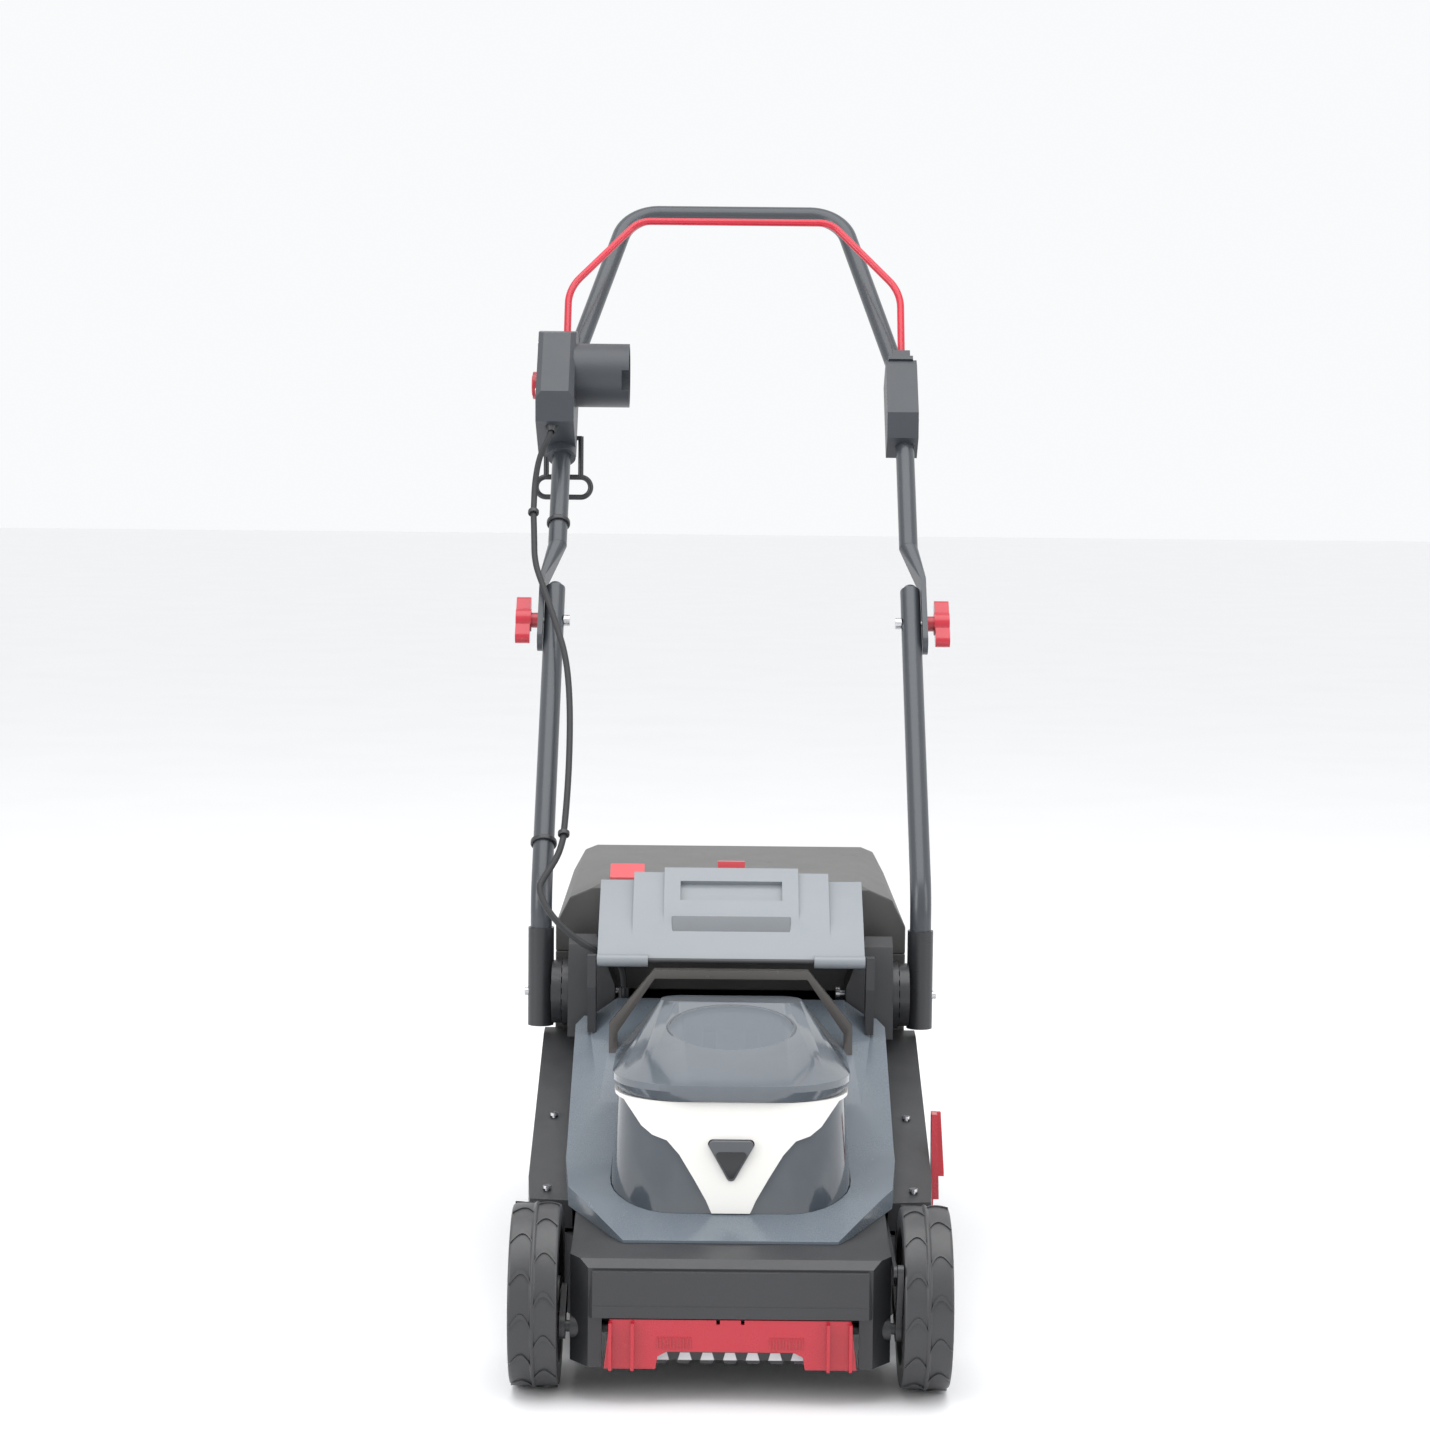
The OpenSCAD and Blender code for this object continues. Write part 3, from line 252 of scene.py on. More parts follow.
def smoked(name, colour, opacity, window=None):
    # smoked glossy plastic; the oval window on the lid is clearer than its rim, and its colour is lightened as a
    # painted reflection
    p = Paint(name)
    swirl = p.noise(16, 4, 0.6)
    fine = p.noise(700, 2, 0.5)
    alpha = opacity
    base = p.blend(swirl, rgb(colour, 0.82), rgb(colour, 1.25))
    if window:
        x = (p.axis("X") - window["x"]) / window["halfX"]
        y = (p.axis("Y") - window["y"]) / window["halfY"]
        inside = (1.06 - (x * x + y * y)) * 14
        alpha = opacity - inside.clamped() * window["clearer"]
        # painted reflection: the window's colour is lightened inside the oval
        base = p.blend(inside.clamped() * 0.5, base, rgb(colour, 2.6))
    p.set(
        Base_Color=base,
        Alpha=alpha,
        Roughness=(0.13 + (swirl - 0.5) * 0.08 + (p.noise(50, 6, 0.8) - 0.6).clamped() * 0.5).clamped(),
        Normal=p.bump(fine, 0.04, 0.0003),
        Coat_Weight=0.6,
        Coat_Roughness=0.06,
    )
    return p.material


print("shader helpers ready")
deckBlack = plastic("deckBlack", (0.030, 0.031, 0.034), 0.42, 0.35)
satinBlack = plastic("satinBlack", (0.022, 0.023, 0.026), 0.3, 0.12)
shroudGrey = plastic("shroudGrey", (0.125, 0.150, 0.178), 0.27, 0.10, 1100, 0.25, 0.10, 0.08)
flapGrey = plastic("flapGrey", (0.215, 0.236, 0.256), 0.34, 0.22, 1300, 0.1, 0.16, 0.08)
redPlastic = plastic("redPlastic", (0.42, 0.009, 0.024), 0.28, 0.10, 1300, 0.3, 0.06, 0.07)
paleRed = plastic("paleRed", (0.66, 0.085, 0.10), 0.34, 0.10, 1300, 0.2, 0.1, 0.06)
whitePlastic = plastic("whitePlastic", (0.80, 0.79, 0.76), 0.22, 0.05, 900, 0.4, 0.04, 0.03)
paleGrey = plastic("paleGrey", (0.62, 0.63, 0.65), 0.4, 0.12)
buttonGrey = plastic("buttonGrey", (0.085, 0.092, 0.102), 0.34, 0.12)
# carry handle grey: lighter than satin black as a painted sheen on its glossy surface
carryGrey = plastic("carryGrey", (0.070, 0.064, 0.060), 0.25, 0.10, 1300, 0.2)
# grass box grey: its lifted tone and heavy up-facing lightening are painted light for the brightly lit top and
# flank
boxGrey = plastic("boxGrey", (0.075, 0.074, 0.072), 0.48, 0.30, 1300, 0.0, 0.25)
boxSlate = plastic("boxSlate", (0.036, 0.041, 0.049), 0.40, 0.30)
wheelBlack = plastic("wheelBlack", (0.034, 0.035, 0.038), 0.38, 0.30, 900, 0.0, 0.25, 0.25)
boardGreen = plastic("boardGreen", (0.03, 0.16, 0.06), 0.3, 0.1)
tubeSlate = powderCoat("tubeSlate", (0.036, 0.042, 0.050))
redPaint = powderCoat("redPaint", (0.46, 0.008, 0.026), 0.22, 0.15)
bladeBlack = powderCoat("bladeBlack", (0.03, 0.03, 0.032), 0.4, 0.3)
zincSteel = metal("zincSteel", (0.62, 0.62, 0.64), 0.3)
castAlloy = metal("castAlloy", (0.60, 0.61, 0.62), 0.45)
brassMetal = metal("brassMetal", (0.72, 0.52, 0.22), 0.3)
cableRubber = rubber("cableRubber", (0.016, 0.017, 0.019))
smokedBody = smoked("smokedBody", (0.060, 0.072, 0.086), 1.0)


# mesh helpers
def finishPiece(name, bm, material, body, replaced=(), smoothTo=35):
    mesh = bpy.data.meshes.new(name)
    bm.to_mesh(mesh)
    bm.free()
    mesh.shade_smooth()
    mesh.set_sharp_from_angle(angle=math.radians(smoothTo))
    piece = bpy.data.objects.new(name, mesh)
    bpy.context.collection.objects.link(piece)
    mesh.materials.append(material)
    if body:
        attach(piece, body)
    if replaced:
        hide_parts(*replaced)
    return piece


def bodyOf(node):
    bodies = frame["record"]["behaviour"]["bodies"]
    return next(b for b, members in bodies.items() if node in members)


def soften(node, name, material, width, segments=2, corner=27):
    # the CAD shell with its loose triangles merged and every hard edge rounded
    bm = bmesh.new()
    bm.from_mesh(nodes[node].data)
    bmesh.ops.remove_doubles(bm, verts=bm.verts, dist=0.01 * mm)
    flat = math.radians(0.6)
    bmesh.ops.dissolve_limit(bm, angle_limit=flat, verts=bm.verts, edges=bm.edges)
    hard = [e for e in bm.edges if e.is_manifold and e.calc_face_angle(0) > math.radians(corner)]
    bmesh.ops.bevel(
        bm, geom=hard, offset=width * mm, segments=segments, profile=0.5, affect="EDGES",
        clamp_overlap=True, material=-1,
    )
    piece = finishPiece(name, bm, material, bodyOf(node), [node])
    weighted = piece.modifiers.new("weighted", "WEIGHTED_NORMAL")
    weighted.keep_sharp = True
    return piece


def coat(node, material):
    # a CAD node that keeps its own mesh
    data = nodes[node].data
    data.materials.clear()
    data.materials.append(material)
    data.shade_smooth()
    data.set_sharp_from_angle(angle=math.radians(35))


def addBox(bm, low, high, round=0.0, turn=None):
    # a block between two corners, its edges rounded, optionally turned about its middle
    low, high = Vector(low), Vector(high)
    made = bmesh.ops.create_cube(bm, size=1)["verts"]
    bmesh.ops.scale(bm, vec=high - low, verts=made)
    if round:
        edges = list({e for v in made for e in v.link_edges})
        out = bmesh.ops.bevel(
            bm, geom=edges, offset=round, segments=2, profile=0.5, affect="EDGES", clamp_overlap=True,
            material=-1,
        )
        made = list({v for f in out["faces"] for v in f.verts} | {v for v in made if v.is_valid})
    if turn:
        bmesh.ops.rotate(bm, cent=(0, 0, 0), matrix=turn, verts=made)
    bmesh.ops.translate(bm, vec=(low + high) / 2, verts=made)
    return made


def addRod(bm, start, end, radius, segments=24, taper=1.0):
    start, end = Vector(start), Vector(end)
    along = end - start
    made = bmesh.ops.create_cone(
        bm, cap_ends=True, segments=segments, radius1=radius, radius2=radius * taper, depth=along.length
    )["verts"]
    bmesh.ops.rotate(bm, cent=(0, 0, 0), matrix=along.to_track_quat("Z", "Y").to_matrix(), verts=made)
    bmesh.ops.translate(bm, vec=(start + end) / 2, verts=made)
    return made


def tubeAlong(name, points, radius, resolution=8):
    # a round cable through points, as a mesh
    curve = bpy.data.curves.new(name, "CURVE")
    curve.dimensions = "3D"
    curve.bevel_depth = radius
    curve.bevel_resolution = 4
    curve.use_fill_caps = True
    spline = curve.splines.new("NURBS")
    spline.points.add(len(points) - 1)
    for at, p in zip(spline.points, points):
        at.co = (*p, 1)
    spline.order_u = 3
    spline.use_endpoint_u = True
    spline.resolution_u = resolution
    shown = bpy.data.objects.new(name + "Curve", curve)
    bpy.context.collection.objects.link(shown)
    bpy.context.view_layer.update()
    mesh = bpy.data.meshes.new_from_object(shown)
    bpy.data.objects.remove(shown)
    mesh.name = name
    piece = bpy.data.objects.new(name, mesh)
    bpy.context.collection.objects.link(piece)
    mesh.shade_smooth()
    mesh.materials.clear()
    mesh.materials.append(cableRubber)
    return piece


# deck and covers
deck = {"edge": 2.2, "bumperEdge": 2.5, "gripEdge": 1.0, "shroudEdge": 3.0, "humpEdge": 5, "carryEdge": 3.4}
soften("deck", "deckShell", deckBlack, deck["edge"])
soften("bumper", "frontBumper", deckBlack, deck["bumperEdge"])
soften("front_grip", "frontGrip", redPlastic, deck["gripEdge"])
soften("top_shroud", "topShroud", shroudGrey, deck["shroudEdge"], 3)
soften("pivot_humps", "pivotHumps", deckBlack, deck["humpEdge"], 3)
soften("carry_handle", "carryHandle", carryGrey, deck["carryEdge"], 3)
coat("comb_strip", deckBlack)
print("deck and covers done")


def gripRibs():
    # two fields of fine upright ribs on the grip, either side of its middle
    ribs = {"from": 34, "to": 62, "pitch": 2.8, "low": 50.5, "high": 61, "proud": 0.9}
    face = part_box("front_grip")[0].y + 7 * mm
    bm = bmesh.new()
    count = int((ribs["to"] - ribs["from"]) / ribs["pitch"])
    for side in (-1, 1):
        for i in range(count + 1):
            x = side * (ribs["from"] + i * ribs["pitch"]) * mm
            addBox(bm, (x - 0.6 * mm, face - ribs["proud"] * mm, ribs["low"] * mm),
                   (x + 0.6 * mm, face + 0.4 * mm, ribs["high"] * mm), 0.3 * mm)
    finishPiece("gripRibs", bm, redPlastic, "deck")


gripRibs()


def combWindows():
    # pale tapered windows between the comb's teeth
    comb = {"pitch": 19.4, "count": 7, "wide": 12, "narrow": 8, "low": 37, "high": 43.5}
    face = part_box("comb_strip")[0].y
    bm = bmesh.new()
    for i in range(comb["count"]):
        x = (i - (comb["count"] - 1) / 2) * comb["pitch"] * mm
        made = addBox(bm, (x - comb["wide"] / 2 * mm, face - 0.6 * mm, comb["low"] * mm),
                      (x + comb["wide"] / 2 * mm, face + 0.6 * mm, comb["high"] * mm))
        for v in made:
            if v.co.z > (comb["low"] + 1) * mm:
                v.co.x = x + (v.co.x - x) * comb["narrow"] / comb["wide"]
    finishPiece("combWindows", bm, paleGrey, "deck")


combWindows()


def cornerPlates():
    # pale metal corner pieces that close the deck's front corners
    bm = bmesh.new()
    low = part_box("deck")[0]
    for side in (-1, 1):
        x = side * 128 * mm
        addBox(bm, (x - 9 * mm, low.y + 16 * mm, 33.5 * mm), (x + 9 * mm, low.y + 19 * mm, 45 * mm), 0.8 * mm,
               Matrix.Rotation(side * math.radians(38), 3, "Z"))
    finishPiece("cornerPlates", bm, castAlloy, "deck")


cornerPlates()


# motor housing, lid, trim and button
dome = {"edge": 1.6, "trimEdge": 1.4, "lidEdge": 2.4}
lidLow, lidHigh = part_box("battery_lid")
lidWindow = {"x": 0.0, "y": lidLow.y + 117 * mm, "halfX": 58 * mm, "halfY": 46 * mm, "clearer": 0.45}
smokedLid = smoked("smokedLid", (0.105, 0.122, 0.142), 0.93, lidWindow)
soften("motor_housing", "motorHousing", smokedBody, dome["edge"])
soften("trim_frame", "trimFrame", whitePlastic, dome["trimEdge"])
soften("battery_lid", "batteryLid", smokedLid, dome["lidEdge"], 3)
soften("latch_button", "latchButton", buttonGrey, 1.6)


def triangle(bm, radius, corner, y, depth, segments=8):
    # an upright rounded triangle, point down, facing the front
    corners = []
    for turn in (90, 210, 330):
        middle = Vector((math.cos(math.radians(turn)), -math.sin(math.radians(turn)))) * (radius - corner)
        middle.y = -middle.y
        for i in range(segments + 1):
            a = math.radians(turn - 60 + 120 * i / segments)
            corners.append((middle.x + corner * math.cos(a), middle.y + corner * math.sin(a)))
    ring = [bm.verts.new((x, y, -z)) for x, z in corners]
    face = bm.faces.new(ring)
    out = bmesh.ops.extrude_face_region(bm, geom=[face])
    back = [v for v in out["geom"] if isinstance(v, bmesh.types.BMVert)]
    bmesh.ops.translate(bm, vec=(0, depth, 0), verts=back)
    bmesh.ops.recalc_face_normals(bm, faces=bm.faces)
    return ring


def buttonDetail():
    # a smaller raised triangle on the button's face
    inset = {"radius": 15, "corner": 3, "proud": 1, "below": 0.9}
    low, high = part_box("latch_button")
    bm = bmesh.new()
    triangle(bm, inset["radius"] * mm, inset["corner"] * mm, low.y - inset["proud"] * mm, 2 * mm)
    bmesh.ops.bevel(bm, geom=list(bm.edges), offset=0.5 * mm, segments=2, profile=0.5, affect="EDGES",
                    clamp_overlap=True, material=-1)
    bmesh.ops.translate(bm, vec=(0, 0, (low.z + high.z) / 2 - inset["below"] * mm), verts=bm.verts)
    finishPiece("buttonInset", bm, satinBlack, "latch_button")


buttonDetail()


def lidBand():
    # a raised oval frame round the lid's window, laid on the sloping crown
    bm = bmesh.new()
    ring = {"halfX": 60, "halfY": 49, "thick": 2.4, "steps": 64}
    slope = math.atan2(32, 115)
    made = bmesh.ops.create_circle(bm, segments=ring["steps"], radius=1)["verts"]
    bmesh.ops.scale(bm, vec=(ring["halfX"] * mm, ring["halfY"] * mm, 1), verts=made)
    start = list(bm.edges)
    out = bmesh.ops.extrude_edge_only(bm, edges=start)
    inner = [v for v in out["geom"] if isinstance(v, bmesh.types.BMVert)]
    bmesh.ops.scale(bm, vec=(0.94, 0.94, 1), verts=inner)
    bmesh.ops.solidify(bm, geom=list(bm.faces), thickness=ring["thick"] * mm)
    bmesh.ops.recalc_face_normals(bm, faces=bm.faces)
    bmesh.ops.bevel(bm, geom=[e for e in bm.edges if e.calc_face_angle(0) > 0.7], offset=0.7 * mm, segments=2,
                    profile=0.5, affect="EDGES", clamp_overlap=True, material=-1)
    bmesh.ops.rotate(bm, cent=(0, 0, 0), matrix=Matrix.Rotation(slope, 3, "X"), verts=bm.verts)
    bmesh.ops.translate(bm, vec=(0, lidWindow["y"], lidHigh.z - 13.6 * mm), verts=bm.verts)
    finishPiece("lidWindowFrame", bm, smokedBody, "battery_lid")


def batteryLabel():
    # plain red band and grip ribs on the battery, seen dimly through the lid
    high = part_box("battery")[1]
    bm = bmesh.new()
    addBox(bm, (-40 * mm, high.y - 52 * mm, high.z - 0.5 * mm),
           (40 * mm, high.y - 38 * mm, high.z + 0.6 * mm), 0.3 * mm)
    finishPiece("batteryBand", bm, redPlastic, "battery")
    bm = bmesh.new()
    for i in range(7):
        y = high.y - (62 + i * 6) * mm
        addBox(bm, (-34 * mm, y - 1.2 * mm, high.z - 0.5 * mm),
               (34 * mm, y + 1.2 * mm, high.z + 1.4 * mm), 0.5 * mm)
    finishPiece("batteryRibs", bm, satinBlack, "battery")


lidBand()
batteryLabel()
coat("battery", satinBlack)
coat("battery_tray", deckBlack)
coat("battery_contacts", brassMetal)
coat("controller_board", boardGreen)
coat("motor_stator", zincSteel)
coat("blade_ring", deckBlack)
coat("latch_spring", zincSteel)
coat("lid_hinge_pin", deckBlack)
coat("rotor", castAlloy)
coat("fan", deckBlack)
coat("blade_hub", castAlloy)
soften("blade", "cuttingBlade", bladeBlack, 0.4)
coat("blade_bolt", zincSteel)
print("dome, battery and drive done")


# wheels
wheelParts = {"lugs": 13, "lugThick": 4.4, "lugProud": 1.6, "bulge": 13, "spokes": 9, "edge": 1.2}


def addLug(bm, radius, half, side, angle):
    # one curved tread lug from the middle rib out to the wheel's edge
    grid = bmesh.ops.create_grid(bm, x_segments=10, y_segments=1, size=1)["verts"]
    base = radius - wheelParts["lugProud"] * mm
    spots = {}
    for v in grid:
        along = (v.co.x + 1) / 2
        across = v.co.y * wheelParts["lugThick"] * mm / 2 * (0.45 + 0.55 * math.sin(math.pi * along))
        bend = wheelParts["bulge"] * mm * math.sin(math.pi * along) * (1 - 0.35 * along)
        spots[v] = (side * (1.2 * mm + along * (half - 2.4 * mm)), angle + (bend + across) / radius)
    faces = list({f for v in grid for f in v.link_faces})
    out = bmesh.ops.extrude_face_region(bm, geom=faces)
    top = [v for v in out["geom"] if isinstance(v, bmesh.types.BMVert)]
    for v in top:
        v.co.z = 1
        spots[v] = min(((spots[g], (g.co.xy - v.co.xy).length) for g in grid), key=lambda s: s[1])[0]
    for v, (x, a) in spots.items():
        r = base - 0.6 * mm if v.co.z < 0.5 else base + wheelParts["lugProud"] * mm - 0.15 * mm
        v.co = (x, r * math.sin(a), r * math.cos(a))


def dressWheel(node, name):
    # tread and spokes on the moulded wheel
    low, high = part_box(node)
    middle = (low + high) / 2
    radius = (high.z - low.z) / 2
    half = (high.x - low.x) / 2
    outer = 1 if middle.x > 0 else -1
    soften(node, name, wheelBlack, wheelParts["edge"])
    bm = bmesh.new()
    step = 2 * math.pi / wheelParts["lugs"]
    for i in range(wheelParts["lugs"]):
        addLug(bm, radius, half, 1, i * step)
        addLug(bm, radius, half, -1, (i + 0.5) * step)
    bmesh.ops.recalc_face_normals(bm, faces=bm.faces)
    bmesh.ops.translate(bm, vec=middle, verts=bm.verts)
    finishPiece(name + "Tread", bm, wheelBlack, node)
    bm = bmesh.new()
    face = half - 10.5 * mm
    for i in range(wheelParts["spokes"]):
        made = addBox(bm, (face - 2 * mm, -3 * mm, 15 * mm),
                      (face + 6 * mm, 3 * mm, radius - 21 * mm), 1 * mm)
        bmesh.ops.rotate(bm, cent=(0, 0, 0), verts=made,
                         matrix=Matrix.Rotation(2 * math.pi * i / wheelParts["spokes"], 3, "X"))
    if outer < 0:
        bmesh.ops.rotate(bm, cent=(0, 0, 0), matrix=Matrix.Rotation(math.pi, 3, "Z"), verts=bm.verts)
    bmesh.ops.translate(bm, vec=middle, verts=bm.verts)
    finishPiece(name + "Spokes", bm, wheelBlack, node)


for node, name in (
    ("wheel_front_left", "frontWheelLeft"), ("wheel_front_right", "frontWheelRight"),
    ("wheel_rear_left", "rearWheelLeft"), ("wheel_rear_right", "rearWheelRight"),
):
    dressWheel(node, name)
for node in ("hub_caps_front", "hub_caps_rear"):
    coat(node, buttonGrey)
coat("front_axle", satinBlack)
coat("rear_axle", satinBlack)
coat("tie_rod", satinBlack)
soften("height_lever", "heightLever", redPlastic, 1.4)
print("wheels and height adjuster done")


# rear flap and grass box
flap = {"edge": 2.2, "windowHalf": (58, 11), "windowThick": 2.4}
grassBox = {"edge": 5, "bars": 9}
soften("rear_flap", "rearFlap", flapGrey, flap["edge"], 3)
coat("flap_hinge_pin", deckBlack)
soften("grass_box", "grassBox", boxGrey, grassBox["edge"], 3)
soften("grass_box_lid", "grassBoxLid", boxGrey, grassBox["edge"], 3)
soften("grass_box_handle", "grassBoxHandle", satinBlack, 1.5)
soften("fill_indicator", "fillIndicator", paleRed, 1.6)


def flapWindow():
    # the glossy window band laid in the flap's lower recess
    pivot = Vector(jointNamed("flap_hinge")["pos_m"])
    bm = bmesh.new()
    half = Vector((*flap["windowHalf"], flap["windowThick"] / 2)) * mm
    addBox(bm, -half, half, 1 * mm)
    bmesh.ops.rotate(bm, cent=(0, 0, 0), matrix=Matrix.Rotation(math.atan2(28, 22), 3, "X"), verts=bm.verts)
    bmesh.ops.translate(bm, vec=(0, pivot.y + 39 * mm, pivot.z + 28 * mm), verts=bm.verts)
    finishPiece("flapWindow", bm, smokedBody, "rear_flap")


def grassBoxTrim():
    # crossed lattice on both sides, ribs on the back and the plain red tag on top
    low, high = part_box("grass_box_lid")
    bm = bmesh.new()
    side = {"front": 130, "long": 230, "low": 74, "tall": 96, "pitch": 15}
    for x in (low.x, high.x):
        inward = 1 if x < 0 else -1
        for lean in (-1, 1):
            for i in range(int(side["long"] / side["pitch"])):
                y = low.y + (side["front"] + i * side["pitch"]) * mm
                z = high.z - (side["low"] + side["tall"] / 2) * mm
                made = addBox(bm, (-1.4 * mm, -1.6 * mm, -side["tall"] / 2 * mm),
                              (1.2 * mm, 1.6 * mm, side["tall"] / 2 * mm))
                bmesh.ops.rotate(bm, cent=(0, 0, 0), matrix=Matrix.Rotation(lean * 0.42, 3, "X"), verts=made)
                bmesh.ops.translate(bm, vec=(x + inward * 0.9 * mm, y, z), verts=made)
        mid = low.y + (side["front"] + side["long"] / 2 - side["pitch"] / 2) * mm
        for dz in (-1, 1):
            z = high.z - (side["low"] + side["tall"] * (0.5 + dz * 0.5)) * mm
            addBox(bm, (x - 1.2 * mm, mid - 132 * mm, z - 3 * mm),
                   (x + 1.2 * mm, mid + 132 * mm, z + 3 * mm), 1 * mm)
    finishPiece("grassBoxLattice", bm, satinBlack, "grass_box")
    bm = bmesh.new()
    for i in range(grassBox["bars"]):
        x = (-128 + i * 256 / (grassBox["bars"] - 1)) * mm
        addBox(bm, (x - 3 * mm, high.y - 2 * mm, high.z - 190 * mm),
               (x + 3 * mm, high.y + 1.5 * mm, high.z - 72 * mm), 1.2 * mm)
    finishPiece("grassBoxRibs", bm, deckBlack, "grass_box")
    bm = bmesh.new()
    tag = {"x": -104, "half": 17, "deep": 20, "tall": 13}
    front = Vector((tag["x"] * mm, low.y + 21 * mm, high.z - 0.2 * mm))
    made = addBox(bm, front - Vector((tag["half"] * mm, 0, 0)),
                  front + Vector((tag["half"] * mm, tag["deep"] * mm, tag["tall"] * mm)))
    for v in made:
        if v.co.y < front.y + mm and v.co.z > front.z + mm:
            v.co.z = front.z + 1.5 * mm
    finishPiece("tagPlate", bm, paleRed, "grass_box")


flapWindow()
grassBoxTrim()
print("flap and grass box done")


# handle
handle = {"edge": 1.8, "knobEdge": 2.6}
coat("lower_handle", tubeSlate)
coat("upper_handle", tubeSlate)
coat("clamp_bolts", zincSteel)
coat("pivot_discs", satinBlack)
coat("deck_fasteners", zincSteel)
soften("pivot_sleeves", "pivotSleeves", satinBlack, 0.9)
soften("knob_left", "knobLeft", redPlastic, handle["knobEdge"], 3)
soften("knob_right", "knobRight", redPlastic, handle["knobEdge"], 3)
soften("switch_box", "switchBox", boxSlate, handle["edge"])
soften("bail_holder", "bailHolder", boxSlate, handle["edge"])
coat("bail_rod", redPaint)
soften("lock_button", "lockButton", redPlastic, 1.6)
coat("switch_unit", satinBlack)
coat("cord_hook", satinBlack)
coat("cable_gland", satinBlack)
soften("cable_clip_upper", "cableClipUpper", satinBlack, 0.9)
soften("cable_clip_lower", "cableClipLower", satinBlack, 0.9)

# the sloping handle's own directions, measured from the knob's axis
knobAxis = Vector(jointNamed("upper_fold")["pos_m"])
slopeAngle = math.radians(50)
upSlope = Vector((0, math.cos(slopeAngle), math.sin(slopeAngle)))
behind = Vector((0, math.sin(slopeAngle), -math.cos(slopeAngle)))
slopeTurn = Matrix.Rotation(slopeAngle - math.pi / 2, 3, "X")


def slopePoint(x, back, up):
    return Vector((x * mm, 0, 0)) + knobAxis + behind * back * mm + upSlope * up * mm


def placeOnSlope(bm):
    bmesh.ops.rotate(bm, cent=(0, 0, 0), matrix=slopeTurn, verts=bm.verts)
    bmesh.ops.translate(bm, vec=knobAxis, verts=bm.verts)


def boxDetails():
    # screws, the button's collar and the cable's grommet on the two grip housings
    bm = bmesh.new()
    for y, z in ((-74, 320), (-74, 252), (4, 250), (4, 380), (-50, 338)):
        addRod(bm, (-213.6 * mm, y * mm, z * mm), (-212.4 * mm, y * mm, z * mm), 3.4 * mm, 20)
    for y, z in ((-22, 262), (-22, 318), (8, 262), (8, 328)):
        addRod(bm, (200.4 * mm, y * mm, z * mm), (201.6 * mm, y * mm, z * mm), 3.2 * mm, 20)
    placeOnSlope(bm)
    finishPiece("housingScrews", bm, zincSteel, "upper_handle")
    bm = bmesh.new()
    bmesh.ops.create_circle(bm, segments=48, radius=15.6 * mm)
    out = bmesh.ops.extrude_edge_only(bm, edges=list(bm.edges))
    wide = [v for v in out["geom"] if isinstance(v, bmesh.types.BMVert)]
    bmesh.ops.scale(bm, vec=(1.16, 1.16, 1), verts=wide)
    bmesh.ops.solidify(bm, geom=list(bm.faces), thickness=3.0 * mm)
    bmesh.ops.recalc_face_normals(bm, faces=bm.faces)
    bmesh.ops.bevel(bm, geom=[e for e in bm.edges if e.calc_face_angle(0) > 0.7], offset=0.8 * mm, segments=2,
                    profile=0.5, affect="EDGES", clamp_overlap=True, material=-1)
    bmesh.ops.rotate(bm, cent=(0, 0, 0), matrix=Matrix.Rotation(math.pi / 2, 3, "Y"), verts=bm.verts)
    bmesh.ops.translate(bm, vec=(-213.6 * mm, -40 * mm, 290 * mm), verts=bm.verts)
    placeOnSlope(bm)
    finishPiece("buttonCollar", bm, satinBlack, "upper_handle")
    bm = bmesh.new()
    grommet = bmesh.ops.create_cone(
        bm, cap_ends=False, segments=32, radius1=4.2 * mm, radius2=7.6 * mm, depth=9 * mm
    )["verts"]
    bmesh.ops.translate(bm, vec=(-196 * mm, -48 * mm, 221.5 * mm), verts=grommet)
    bmesh.ops.solidify(bm, geom=list(bm.faces), thickness=0.8 * mm)
    bmesh.ops.recalc_face_normals(bm, faces=bm.faces)
    placeOnSlope(bm)
    finishPiece("cableGrommet", bm, satinBlack, "upper_handle")


boxDetails()

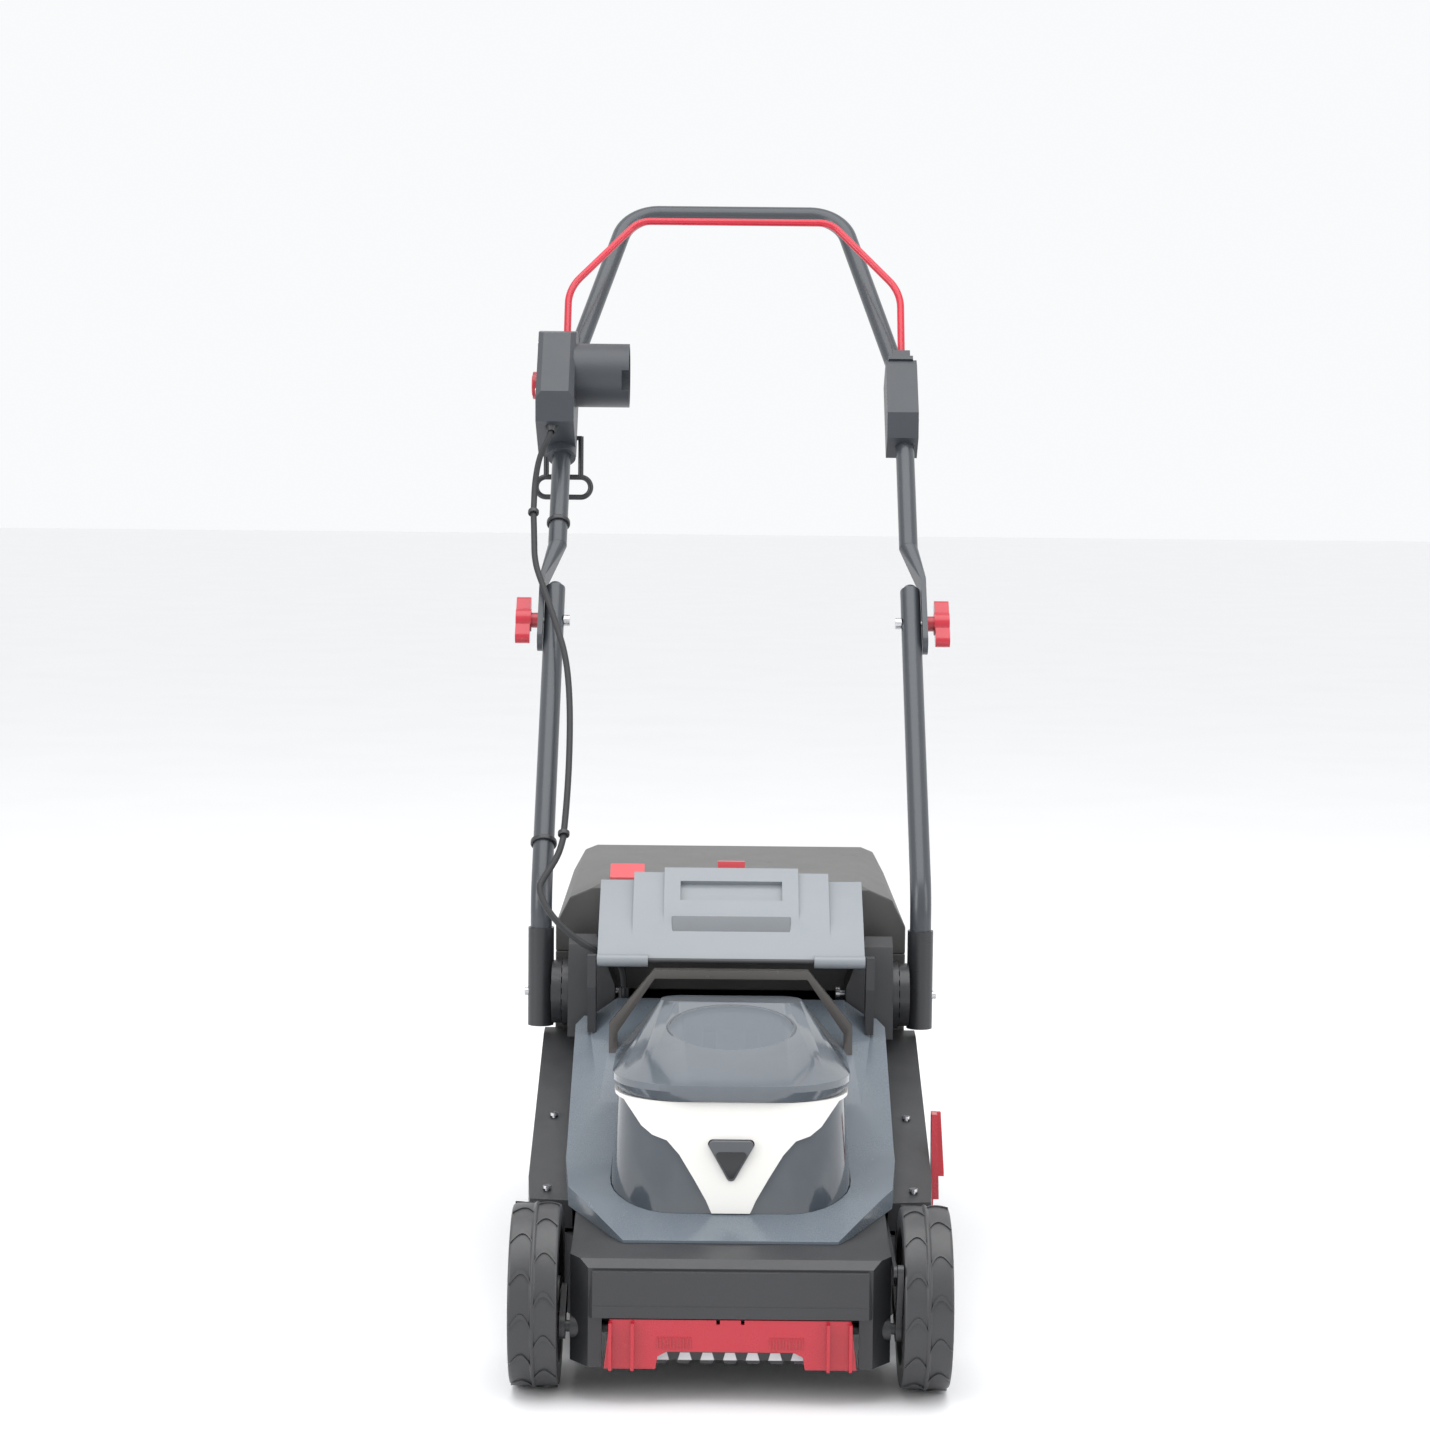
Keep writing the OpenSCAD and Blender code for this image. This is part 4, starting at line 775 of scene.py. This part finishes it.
# handle cable: from the switch box down the left leg and into the deck
boxStretch = [(-196, -48, 230), (-196, -48, 216), (-208, -36, 196), (-213, -22, 170), (-213, -18, 140),
              (-213, -18, 126)]
legStretch = [(-213, -18, 131), (-211, -18, 100), (-209, -20, 60), (-196, -23, 20), (-184, -24, -20),
              (-172, -22, -60), (-166, -17, -110), (-164, -15, -180), (-165, -16, -250), (-167, -17, -284)]
footStretch = [(-166, -16.5, -276), (-168, -18, -292), (-173, -20, -310), (-184, -24, -334)]
gland = centreOf("cable_gland")
deckStretch = [(-189, 8, 388), (-178, -7, 366), (-152, -14, 342), (-127, -12, 328), (-110, -4, 318),
               (-104, 0, 307), (-104, 0, 286)]
deckPoints = [Vector((x * mm, gland.y + y * mm, z * mm)) for x, y, z in deckStretch]
cableRadius = 3.25 * mm
top = tubeAlong("cableAtBox", [slopePoint(*p) for p in boxStretch], cableRadius)
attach(top, "upper_handle")
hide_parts("upper_cable")
leg = tubeAlong("cableOnLeg", [slopePoint(*p) for p in legStretch], cableRadius)
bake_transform(leg)
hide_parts("lower_cable")
foot = tubeAlong("cableToDeck", [slopePoint(*p) for p in footStretch] + deckPoints, cableRadius)
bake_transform(foot)
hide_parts("deck_cable")
print("handle and cable done")


# floor and light
floorMesh = bpy.data.meshes.new("studioFloor")
bm = bmesh.new()
bmesh.ops.create_grid(bm, x_segments=1, y_segments=1, size=30)
bm.to_mesh(floorMesh)
bm.free()
floor = bpy.data.objects.new("studioFloor", floorMesh)
bpy.context.collection.objects.link(floor)
paper = Paint("studioPaper")
paperTone = paper.blend(paper.noise(3, 3, 0.5), (0.90, 0.90, 0.91, 1), (0.95, 0.95, 0.96, 1))
paper.set(Base_Color=paperTone, Roughness=0.5)
floorMesh.materials.append(paper.material)

world = bpy.data.worlds.new("studio")
bpy.context.scene.world = world
world.use_nodes = True
world.node_tree.nodes["Background"].inputs[0].default_value = (0.95, 0.96, 0.97, 1)
world.node_tree.nodes["Background"].inputs[1].default_value = 1.0


def softLight(name, at, size, power, aim=(0, 0, 0.35)):
    lamp = bpy.data.lights.new(name, "AREA")
    lamp.shape = "RECTANGLE"
    lamp.size, lamp.size_y = size
    lamp.energy = power
    thing = bpy.data.objects.new(name, lamp)
    thing.location = at
    thing.rotation_euler = (Vector(aim) - Vector(at)).to_track_quat("-Z", "Y").to_euler()
    bpy.context.collection.objects.link(thing)


softLight("topLight", (0, -0.6, 3.2), (3.5, 3.0), 70)
softLight("leftLight", (-3.0, -2.2, 1.8), (1.6, 2.6), 45)
softLight("rightLight", (3.0, -1.6, 1.6), (1.4, 2.4), 28)
bpy.context.scene.view_settings.view_transform = "Standard"
print("stage done")
